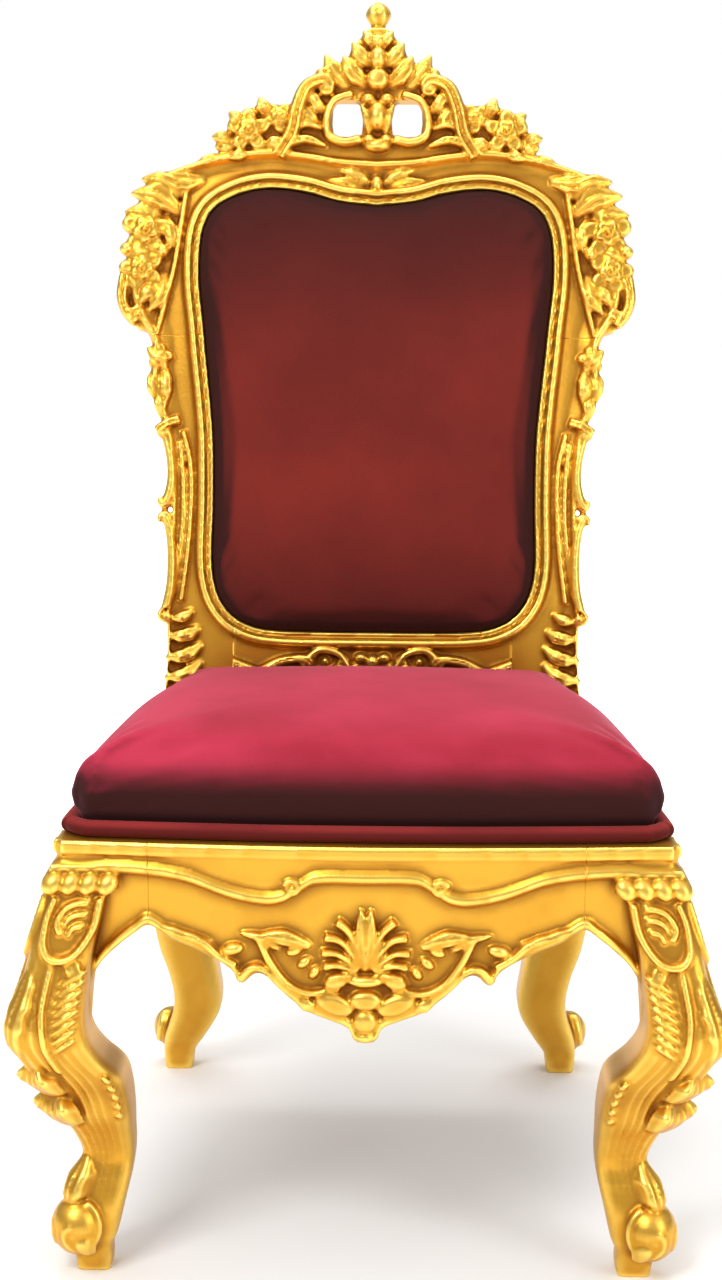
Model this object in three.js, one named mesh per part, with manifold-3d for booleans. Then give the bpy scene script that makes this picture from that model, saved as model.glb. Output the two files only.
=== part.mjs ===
// A carved and gilded throne with velvet upholstery, in millimetres, +Z up.
// The origin is on the floor under the middle of the seat. The sitter faces -Y, and both sides are the same.
import * as THREE from "three";
import { mergeVertices } from "three/addons/utils/BufferGeometryUtils.js";
import Module from "manifold-3d";

const wasm = await Module();
wasm.setup();

// ---- Driving dimensions -----------------------------------------------------------------------------------------
const GAP = 0.3; // air between pieces that touch
const RAIL_TOP = 450; // top of the seat rails above the floor
const CORNER = { x: 300, y: -300 }; // where the outer faces of the front and side rails meet
const REAR_CORNER = { x: 258, y: 215 };
const RAIL_THICK = 30;
const FRONT_BOW = 14; // how far the front rail swells forward of a straight line
const EAR = 212; // half length of the front rail, between the ears of the front legs
const SIDE_EAR = 88; // length of the ear that a front leg carries along each side rail
const SIDE_END = 493; // distance from the front corner to the far end of a side rail

const BACK_FOOT = { y: 195, z: 460 }; // the origin of the back's own plane
const RECLINE = THREE.MathUtils.degToRad(9);
const BACK_THICK = 34;
const BACK_LOW = -5; // lower edge of the back, just over the rear rail
const CREST_JOINT = 466; // height in the back's plane of the joint between crest rail and stiles
const STILE_JOINT = 165; // distance from the middle of the joint between stiles and lower rail

const SEAT = { front: -288, back: 178, frontHalf: 297, backHalf: 246, corner: 36, bulge: 8 };
const CUSHION = { base: RAIL_TOP + 0.4, crown: 560 };
const PIPING = 9; // radius of the roll around the seat's lower edge

// ---- Materials --------------------------------------------------------------------------------------------------
const gilt = () => new THREE.MeshStandardMaterial({ color: 0xe3ac35, roughness: 0.32, metalness: 0.95 });
const velvet = () => new THREE.MeshStandardMaterial({ color: 0x8f1426, roughness: 0.85, metalness: 0 });
const cover = () => new THREE.MeshStandardMaterial({ color: 0x5e0f1a, roughness: 0.9, metalness: 0 });

// ---- Solids -----------------------------------------------------------------------------------------------------
const vec = (x, y, z = 0) => new THREE.Vector3(x, y, z);

/** A manifold-3d solid of a closed geometry, its faces turned outwards. */
function solid(geometry) {
  const bare = new THREE.BufferGeometry();
  bare.setAttribute("position", geometry.getAttribute("position"));
  if (geometry.index) bare.setIndex(geometry.index);
  const merged = mergeVertices(bare, 1e-3);
  const vertProperties = new Float32Array(merged.getAttribute("position").array);
  const corners = Array.from(merged.index.array);
  const made = (triangles) =>
    new wasm.Manifold(new wasm.Mesh({ numProp: 3, vertProperties, triVerts: new Uint32Array(triangles) }));
  const kept = [];
  for (let i = 0; i < corners.length; i += 3) {
    const [a, b, c] = corners.slice(i, i + 3);
    if (a !== b && b !== c && c !== a) kept.push(a, b, c);
  }
  const first = made(kept);
  if (first.volume() > 0) return first;
  for (let i = 0; i < kept.length; i += 3) [kept[i], kept[i + 1]] = [kept[i + 1], kept[i]];
  return made(kept);
}

/** One solid of all the given geometries. */
const fuse = (geometries) => geometries.map(solid).reduce((all, next) => all.add(next));

/** The three.js geometry of a manifold-3d solid. */
function geometryOf(made) {
  const { vertProperties, triVerts, numProp } = made.getMesh();
  const positions = [];
  for (let i = 0; i < vertProperties.length; i += numProp) positions.push(...vertProperties.slice(i, i + 3));
  const geometry = new THREE.BufferGeometry();
  geometry.setAttribute("position", new THREE.Float32BufferAttribute(positions, 3));
  geometry.setIndex(Array.from(triVerts));
  return geometry;
}

/** A named mesh of one sub-part. */
function piece(name, geometry, material) {
  const mesh = new THREE.Mesh(geometry, material);
  mesh.name = name;
  mesh.geometry.computeVertexNormals();
  return mesh;
}

/** The triangles that close one ring of points, whatever its outline. */
function capOf(ring) {
  const middle = ring.reduce((sum, p) => sum.add(p), vec(0, 0)).divideScalar(ring.length);
  const normal = vec(0, 0);
  ring.forEach((p, i) => {
    const q = ring[(i + 1) % ring.length];
    normal.add(p.clone().sub(middle).cross(q.clone().sub(middle)));
  });
  const across = ring[0].clone().sub(middle).projectOnPlane(normal).normalize();
  const along = normal.clone().normalize().cross(across);
  const flat = ring.map((p) => {
    const d = p.clone().sub(middle);
    return new THREE.Vector2(d.dot(across), d.dot(along));
  });
  return THREE.ShapeUtils.triangulateShape(flat, []);
}

/** A body through rings of points with the same count in each, closed at both ends or round into a loop. */
function loft(rings, looped = false) {
  const count = rings[0].length;
  const geometry = new THREE.BufferGeometry();
  const places = rings.flat().flatMap((p) => p.toArray());
  geometry.setAttribute("position", new THREE.Float32BufferAttribute(places, 3));
  const index = [];
  const last = looped ? rings.length : rings.length - 1;
  for (let r = 0; r < last; r++) {
    const next = (r + 1) % rings.length;
    for (let k = 0; k < count; k++) {
      const l = (k + 1) % count;
      index.push(r * count + k, r * count + l, next * count + k);
      index.push(r * count + l, next * count + l, next * count + k);
    }
  }
  if (!looped) {
    const end = (rings.length - 1) * count;
    for (const [a, b, c] of capOf(rings[0])) index.push(c, b, a);
    for (const [a, b, c] of capOf(rings[rings.length - 1])) index.push(end + a, end + b, end + c);
  }
  geometry.setIndex(index);
  return geometry;
}

/** A smooth function through stops [[x, y], ...] in rising order of x. */
function through(stops) {
  const slope = (i) => {
    const [x0, y0] = stops[Math.max(i - 1, 0)];
    const [x1, y1] = stops[Math.min(i + 1, stops.length - 1)];
    return (y1 - y0) / (x1 - x0);
  };
  return (x) => {
    const at = THREE.MathUtils.clamp(x, stops[0][0], stops[stops.length - 1][0]);
    let i = 0;
    while (i < stops.length - 2 && at > stops[i + 1][0]) i++;
    const [x0, y0] = stops[i];
    const [x1, y1] = stops[i + 1];
    const span = x1 - x0;
    const t = (at - x0) / span;
    const square = t * t;
    const cube = square * t;
    return (
      (2 * cube - 3 * square + 1) * y0 +
      (cube - 2 * square + t) * span * slope(i) +
      (3 * square - 2 * cube) * y1 +
      (cube - square) * span * slope(i + 1)
    );
  };
}

// ---- Carving ----------------------------------------------------------------------------------------------------
// Carving is laid out flat, x across, y up and z out of its ground, and then bent onto the piece that bears it.
const GROUND = -5; // how deep the foot of a carved form sits, so that it always grows out of its ground
const swell = (t) => Math.sin(Math.PI * Math.min(0.07 + 0.93 * t, 0.98)) ** 0.7; // 0 at both ends, fullest midway

/**
 * A carved form along points, its width across them and its height over them each times a share of its length.
 * Its section has the given points: [share of half the width, share of the height] from the left foot to the right.
 */
function carve(points, width, height, section, share, steps) {
  const curve = new THREE.CatmullRomCurve3(points);
  const rings = [];
  for (let s = 0; s <= steps; s++) {
    const t = s / steps;
    const middle = curve.getPoint(t);
    const across = curve.getTangent(t).cross(vec(0, 0, 1)).setZ(0).normalize().multiplyScalar((width / 2) * share(t));
    const at = (side, z) => middle.clone().addScaledVector(across, side).setZ(z);
    const face = section.map(([side, up]) => at(side, middle.z + height * share(t) * up));
    rings.push([at(1, GROUND), ...face, at(-1, GROUND)].reverse());
  }
  return loft(rings);
}

/** A rounded rib or scroll. */
const rib = (points, width, height, { share = swell, steps = 4 } = {}) =>
  carve(points, width, height, [[0.55, 0.95], [-0.55, 0.95]], share, steps);

/** A ridged leaf from its root to its tip that bows sideways by bend and lifts off the ground by rise. */
function leaf([x0, y0], [x1, y1], width, { rise = 6, bend = 0, height = 6, n = 0, steps = 3 } = {}) {
  const side = vec(y0 - y1, x1 - x0).normalize();
  const middle = vec((x0 + x1) / 2, (y0 + y1) / 2, n + rise).addScaledVector(side, bend);
  return carve([vec(x0, y0, n), middle, vec(x1, y1, n + rise * 0.7)], width, height, [[0, 1.1]], swell, steps);
}

/** A low rounded knob. */
function boss([x, y], radius, height, n = 0, stretch = 1) {
  const profile = [[0, GROUND - n], [1, GROUND - n], [0.75, 0.72 * height], [0, height]];
  const made = new THREE.LatheGeometry(profile.map(([r, z]) => new THREE.Vector2(r * radius, z)), 6);
  return made.rotateX(Math.PI / 2).scale(1, stretch, 1).translate(x, y, n);
}

/** A five-petalled flower in the round, lying on its ground. */
function flower([x, y], radius, height, n = 0, turned = 0) {
  const petals = 5;
  const profile = [[0, GROUND - n], [1, GROUND - n], [0.78, 0.9 * height], [0, 0.55 * height]];
  const made = new THREE.LatheGeometry(profile.map(([r, z]) => new THREE.Vector2(r, z)), 2 * petals);
  made.rotateX(Math.PI / 2);
  const at = made.getAttribute("position");
  for (let i = 0; i < at.count; i++) {
    const angle = Math.atan2(at.getY(i), at.getX(i));
    const reach = radius * (0.9 + 0.14 * Math.cos(petals * angle));
    at.setXY(i, at.getX(i) * reach, at.getY(i) * reach);
  }
  return made.rotateZ(turned).translate(x, y, n);
}

/** Geometries and their mirror images on the other side of the throne. */
function bothSides(geometries) {
  return geometries.flatMap((g) => [g, g.clone().scale(-1, 1, 1)]);
}

// ---- The back's frame: a moulded ring, carved over, in its own plane (x across, y up the back, z to the sitter) ---
// Stations from the middle of the lower rail, up the right stile, to the middle of the crest rail.
const SIGHT = [
  [0, 114], [60, 114], [109, 115], [140, 119], [165, 131], [181, 150], [189, 172], [192, 196], [192, 224], [191, 258],
  [191, 300], [192, 345], [196, 392], [201, 438], [205, 480], [210, 525], [210, 566], [205, 596], [192, 618],
  [163, 634], [128, 641], [86, 637], [44, 626], [0, 621],
].map(([u, w]) => vec(u, w));
const OUTLINE = [
  [0, BACK_LOW], [66, BACK_LOW], [124, BACK_LOW], [172, BACK_LOW], [222, BACK_LOW], [249, BACK_LOW], [247, 38],
  [244, 88], [245, 134], [241, 185], [240, 240], [241, 302], [250, 352], [266, 408], [266, 456], [288, 500],
  [293, 560], [288, 614], [258, 654], [196, 678], [138, 688], [92, 685], [46, 678], [0, 675],
].map(([u, w]) => vec(u, w));
const sightCurve = new THREE.CatmullRomCurve3(SIGHT, false, "catmullrom", 0.5);
const outlineCurve = new THREE.CatmullRomCurve3(OUTLINE, false, "catmullrom", 0.5);

/** One cross-section of the ring at station t, from 0 at the lower middle to 1 at the top middle. */
function ringSection(t) {
  const sight = sightCurve.getPoint(t);
  const outer = outlineCurve.getPoint(t);
  if (t === 0 || t === 1) sight.x = outer.x = 0;
  const along = sightCurve.getTangent(t);
  if (t === 0 || t === 1) along.set(t === 0 ? 1 : -1, 0, 0);
  const away = vec(along.y, -along.x);
  const band = sight.clone().addScaledVector(away, 19);
  const edge = outer.clone().sub(band).normalize();
  const off = (s, n) => sight.clone().addScaledVector(away, s).setZ(n);
  const back = (s, n) => outer.clone().addScaledVector(edge, -s).setZ(n);
  return [
    off(0, -BACK_THICK), off(0, 6), off(6, 3), off(13, 13), off(19, 3), back(12, 2), back(5, 9), back(0, 3),
    back(0, -BACK_THICK),
  ];
}

/** The whole moulded ring. */
function ring() {
  const steps = SIGHT.length - 1;
  const half = [];
  for (let s = 0; s <= steps; s++) half.push(ringSection(s / steps));
  const mirrored = half.slice(1, -1).reverse().map((section) => section.map((p) => vec(-p.x, p.y, p.z)));
  return loft([...half, ...mirrored], true);
}

/** A flat board of the given outline and thickness, its front face at height n, with holes. */
function board(outline, holes, thick, n) {
  const shape = new THREE.Shape(outline.map(([u, w]) => new THREE.Vector2(u, w)));
  for (const hole of holes) shape.holes.push(hole);
  const made = new THREE.ExtrudeGeometry(shape, { depth: thick, bevelEnabled: false, curveSegments: 5 });
  return made.translate(0, 0, n - thick);
}

/** The pierced cresting over the middle of the back, with its finial. */
function cresting() {
  const half = [
    [112, 672], [106, 698], [99, 718], [97, 742], [88, 764], [74, 776], [58, 777], [62, 799], [48, 787], [36, 797],
    [31, 812], [18, 824], [10, 836],
  ];
  const outline = [...half, ...half.map(([u, w]) => [-u, w]).reverse()];
  const opening = (side) => {
    const hole = new THREE.Path();
    hole.absellipse(side * 36, 724, 17, 20, 0, 2 * Math.PI, false, side * 0.35);
    return hole;
  };
  const sided = bothSides([
    rib([vec(116, 682, 2), vec(100, 708, 5), vec(93, 740, 8), vec(78, 763, 7), vec(54, 766, 5)], 22, 11, { steps: 5 }),
    rib([vec(26, 698, 4), vec(50, 697, 6), vec(62, 722, 6), vec(50, 749, 5), vec(22, 757, 5)], 13, 9, { steps: 5 }),
    leaf([34, 764], [62, 801], 20, { rise: 4 }),
    leaf([12, 764], [40, 798], 22, { rise: 7 }),
  ]);
  const middle = [
    boss([0, 727], 16, 15, 0, 1.5),
    boss([0, 697], 20, 12, 0, 0.55),
    boss([0, 772], 20, 19, 0, 0.9),
    boss([0, 804], 21, 16, 0, 0.95),
  ];
  return [board(outline, [opening(1), opening(-1)], 24, 0), ...sided, ...middle, bud()];
}

/** The bud on the very top. */
function bud() {
  const profile = [[0, -16], [9, -14], [11, -2], [15, 9], [10, 21], [0, 27]];
  const made = new THREE.LatheGeometry(profile.map(([r, y]) => new THREE.Vector2(r, y)), 7);
  return made.scale(1, 1, 0.75).translate(0, 838, -11);
}

/** The flowers and scrolls to each side of the cresting and on the shoulders. */
function flowers() {
  const bed = [[84, 672], [92, 722], [104, 740], [136, 744], [164, 731], [184, 706], [186, 670]];
  return bothSides([
    board(bed, [], 22, 0),
    flower([152, 710], 27, 18),
    flower([116, 727], 20, 14, 0, 0.6),
    boss([179, 693], 13, 11),
    leaf([184, 676], [214, 669], 14, { rise: 4 }),
    leaf([214, 648], [262, 656], 26, { bend: -5 }),
    leaf([232, 616], [288, 640], 30, { bend: 6, rise: 9 }),
    flower([275, 590], 31, 20, 0, 0.4),
    flower([280, 546], 27, 17, 0, 1.3),
    leaf([254, 560], [272, 496], 26, { rise: 7, bend: -6 }),
    rib([vec(297, 536, 0), vec(299, 508, 3), vec(290, 486, 5), vec(278, 484, 4)], 17, 9, { share: () => 0.9 }),
  ]);
}

/** The carving down each stile: a husk over a collar, two pairs of curled lips, and the leaves at its foot. */
function stileCarving() {
  return bothSides([
    leaf([248, 396], [268, 450], 34, { rise: 6, bend: 2 }),
    leaf([246, 346], [256, 410], 24, { rise: 4 }),
    boss([248, 352], 9, 10, 0, 0.7),
    boss([247, 268], 9, 11, 0, 0.8),
    boss([247, 250], 9, 11, 0, 0.8),
    boss([246, 132], 9, 11, 0, 0.8),
    leaf([206, 118], [244, 106], 18, { rise: 8, bend: -5 }),
    leaf([206, 90], [247, 68], 19, { rise: 9, bend: -7 }),
    leaf([204, 60], [247, 32], 19, { rise: 8, bend: -7 }),
  ]);
}

/** The low relief on the lower rail: a scalloped ridge and a swag in the middle. */
function lowerCarving() {
  return [
    ...bothSides([
      rib([vec(200, 58, 3), vec(172, 77, 6), vec(138, 67, 6), vec(110, 80, 6), vec(80, 70, 5)], 11, 8, { steps: 6 }),
      rib([vec(84, 72, 3), vec(62, 89, 6), vec(30, 82, 6), vec(26, 66, 5)], 11, 8, { steps: 5 }),
    ]),
    boss([0, 80], 22, 11, 0, 0.5),
  ];
}

/** The four members of the back's frame, cut from one carved ring. */
function backMembers() {
  const carved = fuse([ring(), ...cresting(), ...flowers(), ...stileCarving(), ...lowerCarving()]);
  const block = (x0, x1, y0, y1) =>
    solid(new THREE.BoxGeometry(x1 - x0, y1 - y0, 400).translate((x0 + x1) / 2, (y0 + y1) / 2, 0));
  const far = 600;
  const eye = (u) =>
    solid(new THREE.CylinderGeometry(5.5, 5.5, 120, 6).rotateX(Math.PI / 2).translate(u, 685, 0));
  const half = GAP / 2;
  const foot = block(-far, far, BACK_LOW, CREST_JOINT - half);
  const below = carved.intersect(foot);
  const members = {
    crest_rail: carved.intersect(block(-far, far, CREST_JOINT + half, 1000)).subtract(eye(17)).subtract(eye(-17)),
    stile_left: below.intersect(block(-far, -STILE_JOINT - half, -far, far)),
    stile_right: below.intersect(block(STILE_JOINT + half, far, -far, far)),
    lower_back_rail: below.intersect(block(-STILE_JOINT + half, STILE_JOINT - half, -far, far)),
  };
  return Object.entries(members).map(([name, made]) => piece(name, geometryOf(made), gilt()));
}

/** The sight edge as a closed run of points at height n, drawn in by inset and then by a share towards its middle. */
function sightLoop(inset, share, n) {
  const half = [];
  const middle = vec(0, 375);
  const steps = SIGHT.length - 1;
  for (let s = 0; s <= steps; s++) {
    const t = s / steps;
    const along = t === 0 ? vec(1, 0) : t === 1 ? vec(-1, 0) : sightCurve.getTangent(t);
    const p = sightCurve.getPoint(t).addScaledVector(vec(along.y, -along.x), -inset).lerp(middle, share);
    if (t === 0 || t === 1) p.x = 0;
    half.push(p);
  }
  const other = half.slice(1, -1).reverse().map((p) => vec(-p.x, p.y));
  return [...half, ...other].map((p) => p.setZ(n));
}

/** The padded front of the back: a low crowned cushion that fills the frame. */
function backPad() {
  const levels = [[1.2, 0, -24], [0.8, 0, 3], [9, 0, 17], [14, 0.4, 25]];
  return piece("back_pad", loft(levels.map((level) => sightLoop(...level))), velvet());
}

/** The covered board that closes the back from behind. */
function backPanel() {
  const levels = [[1.4, 0, -31], [1.4, 0, -24.5]];
  return piece("back_panel", loft(levels.map((level) => sightLoop(...level))), cover());
}

// ---- Seat rails -------------------------------------------------------------------------------------------------
// Along a rail, s is the distance from its middle. The stops of its lower edge, and of its upper moulding's edge:
const FRONT_LOWER = [
  [0, 253], [11, 255], [15, 266], [54, 283], [76, 299], [97, 319], [121, 311], [131, 325],
  [165, 344], [190, 354], [212, 367], [226, 358], [242, 345], [260, 326], [271, 304], [282, 270],
];
const FRONT_MOULDING = [
  [0, 415], [50, 414], [66, 405], [80, 396], [98, 393], [132, 399], [176, 414], [226, 420], [300, 420],
];
const SIDE_HALF = (SIDE_END - SIDE_EAR - GAP) / 2; // half length of a side rail
const SIDE_LOWER = [
  [0, 346], [40, 350], [78, 358], [100, 350], [122, 358], [166, 364], [SIDE_HALF, 368], [222, 357], [242, 341],
  [256, 322], [266, 300], [290, 250],
];
const SIDE_MOULDING = [[0, 402], [60, 406], [140, 417], [300, 420]];

/** The stations along a rail from one distance to another: the ends, and each stop of its lower edge between. */
function stations(from, to, stops, middle = 0) {
  const places = stops.flatMap(([s]) => [middle - s, middle + s]).filter((s) => s > from + 3 && s < to - 3);
  return [from, ...new Set(places.sort((a, b) => a - b)), to];
}

/** One cross-section of a rail: out is its outward reach at this point, and place puts (out, z) into the throne. */
function railSection(lower, moulding, place) {
  return [
    place(-RAIL_THICK, RAIL_TOP), place(5, RAIL_TOP), place(5, RAIL_TOP - 12), place(-1, moulding + 13),
    place(5, moulding + 5), place(-2, moulding - 5), place(-2, lower + 12), place(4, lower + 5),
    place(-RAIL_THICK, lower),
  ];
}

const frontLower = through(FRONT_LOWER);
const frontMoulding = through(FRONT_MOULDING);
const bowAt = (x) => FRONT_BOW * Math.cos((Math.PI / 2) * Math.min(Math.abs(x) / 280, 1));

/** Cross-sections of the front rail or of an ear of it, from one distance along it to another. */
function frontRings(from, to) {
  return stations(from, to, FRONT_LOWER).map((x) => {
    const place = (out, z) => vec(x, CORNER.y - bowAt(x) - out, z);
    return railSection(frontLower(Math.abs(x)), frontMoulding(Math.abs(x)), place);
  });
}

const sideLower = through(SIDE_LOWER);
const sideMoulding = through(SIDE_MOULDING);
const sideRun = vec(REAR_CORNER.x - CORNER.x, REAR_CORNER.y - CORNER.y);
const sideLength = sideRun.length();
const sideWay = sideRun.clone().normalize();
const sideOut = vec(-sideWay.y, sideWay.x).negate();
const sideMiddle = SIDE_EAR + GAP + SIDE_HALF; // distance of a side rail's middle from the front corner

/** Cross-sections of the right side rail or of an ear of it, from one distance to another behind the front corner. */
function sideRings(from, to) {
  return stations(from, to, SIDE_LOWER, sideMiddle).map((run) => {
    const s = Math.abs(run - sideMiddle);
    const base = vec(CORNER.x, CORNER.y).addScaledVector(sideWay, run);
    return railSection(sideLower(s), sideMoulding(s), (out, z) => base.clone().addScaledVector(sideOut, out).setZ(z));
  });
}

/** Turns carving laid out flat to stand on the front rail's bowed face. */
const ontoFront = (geometry) => {
  const at = geometry.getAttribute("position");
  for (let i = 0; i < at.count; i++) {
    const [x, z, n] = [at.getX(i), at.getY(i), at.getZ(i)];
    at.setXYZ(i, x, CORNER.y - bowAt(x) - n, z);
  }
  return geometry;
};

/** The palmette between two scrolled fields, and the petals over the drop, on the middle of the front rail. */
function frontCarving() {
  const sided = bothSides([
    leaf([7, 330], [28, 378], 13, { bend: -4, rise: 4, height: 5 }),
    leaf([9, 328], [40, 358], 12, { bend: -4, rise: 4, height: 5 }),
    leaf([56, 351], [104, 359], 14, { bend: 3, rise: 3 }),
    rib([vec(100, 352, 0), vec(88, 326, 1), vec(62, 303, 1), vec(26, 306, 0)], 10, 7),
    boss([27, 316], 11, 6, 0, 0.7),
    boss([29, 291], 20, 8, 0, 0.62),
    boss([128, 345], 10, 7, 0, 0.7),
    leaf([140, 346], [196, 364], 12, { bend: 5, rise: 3 }),
  ]);
  const middle = [
    leaf([0, 328], [0, 388], 24, { rise: 5 }),
    boss([0, 302], 18, 8, 0, 0.8),
    boss([0, 272], 14, 8, 0, 0.8),
  ];
  return [...sided, ...middle].map(ontoFront);
}

/** The front rail, between the ears of the front legs. */
function frontRail() {
  return piece("front_seat_rail", geometryOf(fuse([loft(frontRings(-EAR, EAR)), ...frontCarving()])), gilt());
}

/** A side rail. */
function sideRail(name, side) {
  const made = loft(sideRings(SIDE_EAR + GAP, SIDE_EAR + GAP + 2 * SIDE_HALF)).scale(side, 1, 1);
  return piece(name, geometryOf(solid(made)), gilt());
}

/** The rear rail, between the back legs and under the back. */
function rearRail() {
  const made = new THREE.BoxGeometry(2 * (BACK_LEG_IN - GAP), 30, 78).translate(0, 212, RAIL_TOP - 4 - 39);
  return piece("rear_seat_rail", made, gilt());
}

// ---- Legs -------------------------------------------------------------------------------------------------------
/** A body through rounded rectangular sections: each stop is [z, x, y, half width along X, half width along Y]. */
function legLoft(stops) {
  const ease = 0.58; // how far along each half side its flat runs
  const octagon = [[1, ease], [ease, 1], [-ease, 1], [-1, ease], [-1, -ease], [-ease, -1], [ease, -1], [1, -ease]];
  return loft(stops.map(([z, x, y, halfX, halfY]) => octagon.map(([a, b]) => vec(x + a * halfX, y + b * halfY, z))));
}

// Height, distance out along X and Y alike, and half width of a front leg.
const FRONT_LEG = [
  [0, 272, 17], [12, 272, 18.5], [27, 273, 19.5], [40, 272, 24], [66, 269, 27], [96, 262, 27], [120, 258, 26],
  [145, 262, 30], [167, 268, 36], [192, 274, 40], [214, 283, 44], [238, 298, 41.5], [258, 307, 40], [280, 308, 37],
  [312, 302, 33], [350, 294, 31], [400, 280, 30], [RAIL_TOP, 268, 31],
];

/** The rolled toe over the foot block: a fat curl that points outwards at the corner. */
function toe(x, y, reach, height, radius) {
  const out = vec(Math.sign(x), Math.sign(y)).normalize();
  const middle = vec(x, y).addScaledVector(out, reach);
  const ball = new THREE.SphereGeometry(radius, 8, 5).rotateX(Math.PI / 2).scale(1, 1, 1.1);
  return ball.translate(middle.x, middle.y, height);
}

const frontLegOut = through([...FRONT_LEG].map(([z, out]) => [z, out]));
const frontLegHalf = through([...FRONT_LEG].map(([z, , half]) => [z, half]));

/** Bends carving laid out flat around x = 0 onto the front face of the right front leg. */
const ontoLeg = (geometry) => {
  const at = geometry.getAttribute("position");
  for (let i = 0; i < at.count; i++) {
    const [a, z, n] = [at.getX(i), at.getY(i), at.getZ(i)];
    const out = frontLegOut(z);
    at.setXYZ(i, out + a, -(out + frontLegHalf(z) + n), z);
  }
  return geometry;
};

/** Bends the same onto the outer corner of the right front leg, between its two outer faces. */
const ontoCorner = (geometry) => {
  const at = geometry.getAttribute("position");
  for (let i = 0; i < at.count; i++) {
    const [a, z, n] = [at.getX(i), at.getY(i), at.getZ(i)];
    const reach = frontLegOut(z) + frontLegHalf(z) * 0.79 + n * Math.SQRT1_2;
    at.setXYZ(i, reach + a * Math.SQRT1_2, -reach + a * Math.SQRT1_2, z);
  }
  return geometry;
};

/** The same carving on the other outer face, turned over about the leg's own diagonal. */
const turnOver = (geometry) =>
  geometry.clone().applyMatrix4(new THREE.Matrix4().set(0, -1, 0, 0, -1, 0, 0, 0, 0, 0, 1, 0, 0, 0, 0, 1));

/** The carving of the right front leg. */
function legCarving() {
  const lobed = (t) => 0.55 + 0.45 * Math.abs(Math.sin(3 * Math.PI * t)); // three lobes in a row
  const face = [
    rib([vec(-30, 409, 0), vec(0, 409, 0), vec(30, 409, 0)], 23, 7, { share: lobed, steps: 6 }),
    rib([vec(-22, 394, 1), vec(-21, 358, 1), vec(-4, 338, 2), vec(16, 348, 1), vec(20, 370, 1)], 9, 5, { steps: 5 }),
    leaf([-2, 334], [-4, 240], 34, { rise: 2, height: 4 }),
  ].map(ontoLeg);
  const corner = [
    boss([0, 206], 25, 17, 0, 0.56),
    boss([0, 172], 27, 19, 0, 0.64),
    leaf([0, 326], [0, 230], 30, { rise: 3, height: 6 }),
  ].map(ontoCorner);
  return [...face, ...face.map(turnOver), ...corner];
}

/** The right front leg, with the ears that meet the rails. */
function frontLegSolid() {
  const post = legLoft(FRONT_LEG.map(([z, d, half]) => [z, d, -d, half, half]));
  const ear = loft(frontRings(EAR + GAP, 282));
  const sideEar = loft(sideRings(18, SIDE_EAR));
  return fuse([post, ear, sideEar, toe(272, -272, 20, 48, 26), ...legCarving()]);
}

// Height, distance out along X and back along Y, and the half widths along X and Y of a back leg.
const BACK_LEG_IN = 212; // the flat inner side of its top
const BACK_LEG = [
  [0, 241, 291, 17, 17], [12, 241, 291, 18.5, 18.5], [26, 240, 290, 20, 20], [45, 233, 285, 25, 25],
  [80, 218, 273, 29, 29], [105, 214, 264, 30, 30], [140, 218, 252, 31, 31], [180, 226, 241, 34, 32],
  [240, 234, 229, 34, 29], [310, 237, 220, 30, 25], [362, BACK_LEG_IN + 28, 215, 28, 22],
  [420, BACK_LEG_IN + 26, 212, 26, 18], [RAIL_TOP - 4, BACK_LEG_IN + 22, 212, 22, 18],
];

/** The right back leg. */
function backLegSolid() {
  return fuse([legLoft(BACK_LEG), toe(238, 288, 20, 47, 23)]);
}

/** A leg on either side of the throne. */
function leg(name, made, side) {
  return piece(name, geometryOf(solid(geometryOf(made).scale(side, 1, 1))), gilt());
}

// ---- Seat upholstery --------------------------------------------------------------------------------------------
/** The seat's plan, a tapering oblong that swells a little, at height z, drawn in by inset and then by a share. */
function seatLoop(inset, share, z) {
  const { front, back, frontHalf: wide, backHalf: narrow, corner: r, bulge } = SEAT;
  const perCorner = 3;
  const arc = (x, y, start) => {
    const points = [];
    for (let i = 0; i <= perCorner; i++) {
      const angle = THREE.MathUtils.degToRad(start + (90 * i) / perCorner);
      points.push(vec(x + (r - inset) * Math.cos(angle), y + (r - inset) * Math.sin(angle)));
    }
    return points;
  };
  const side = (t) => vec(wide + (narrow - wide) * t + bulge - inset, front + (back - front) * t);
  const frontEdge = (x) => vec(x, front - bowAt(x) + inset);
  const half = [
    frontEdge(70), frontEdge(165), ...arc(wide - r, front + r - bowAt(wide - r), -90), side(0.35), side(0.65),
    ...arc(narrow - r, back - r, 0), vec(90, back - inset),
  ];
  const loop = [...half, ...half.map((p) => vec(-p.x, p.y)).reverse()];
  const middle = vec(0, (front + back) / 2);
  return loop.map((p) => p.lerp(middle, share).setZ(z));
}

/** The domed seat. */
function seatCushion() {
  const { base, crown } = CUSHION;
  const levels = [
    [14.5, 0, base], [14.5, 0, base + 19], [4, 0, base + 25], [1, 0, 488], [5, 0, 508], [14, 0, 524],
    [28, 0.02, 537], [30, 0.2, 548], [30, 0.6, crown],
  ];
  return piece("seat_cushion", loft(levels.map((level) => seatLoop(...level))), velvet());
}

/** The velvet roll around the foot of the seat. */
function seatPiping() {
  const sides = 6;
  const outer = seatLoop(0, 0, 0);
  const inner = seatLoop(14, 0, 0);
  const rings = inner.map((p, i) => {
    const out = outer[i].clone().sub(p).normalize();
    const middle = p.clone().addScaledVector(out, PIPING + GAP);
    return Array.from({ length: sides }, (_, k) => {
      const angle = (-2 * Math.PI * k) / sides;
      const at = middle.clone().addScaledVector(out, PIPING * Math.cos(angle));
      return at.setZ(CUSHION.base + PIPING * (0.87 + Math.sin(angle)));
    });
  });
  return piece("seat_piping", loft(rings, true), velvet());
}

// ---- The throne -------------------------------------------------------------------------------------------------
const back = new THREE.Group();
back.position.set(0, BACK_FOOT.y, BACK_FOOT.z);
back.rotation.x = Math.PI / 2 - RECLINE;
back.add(...backMembers(), backPad(), backPanel());

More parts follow.
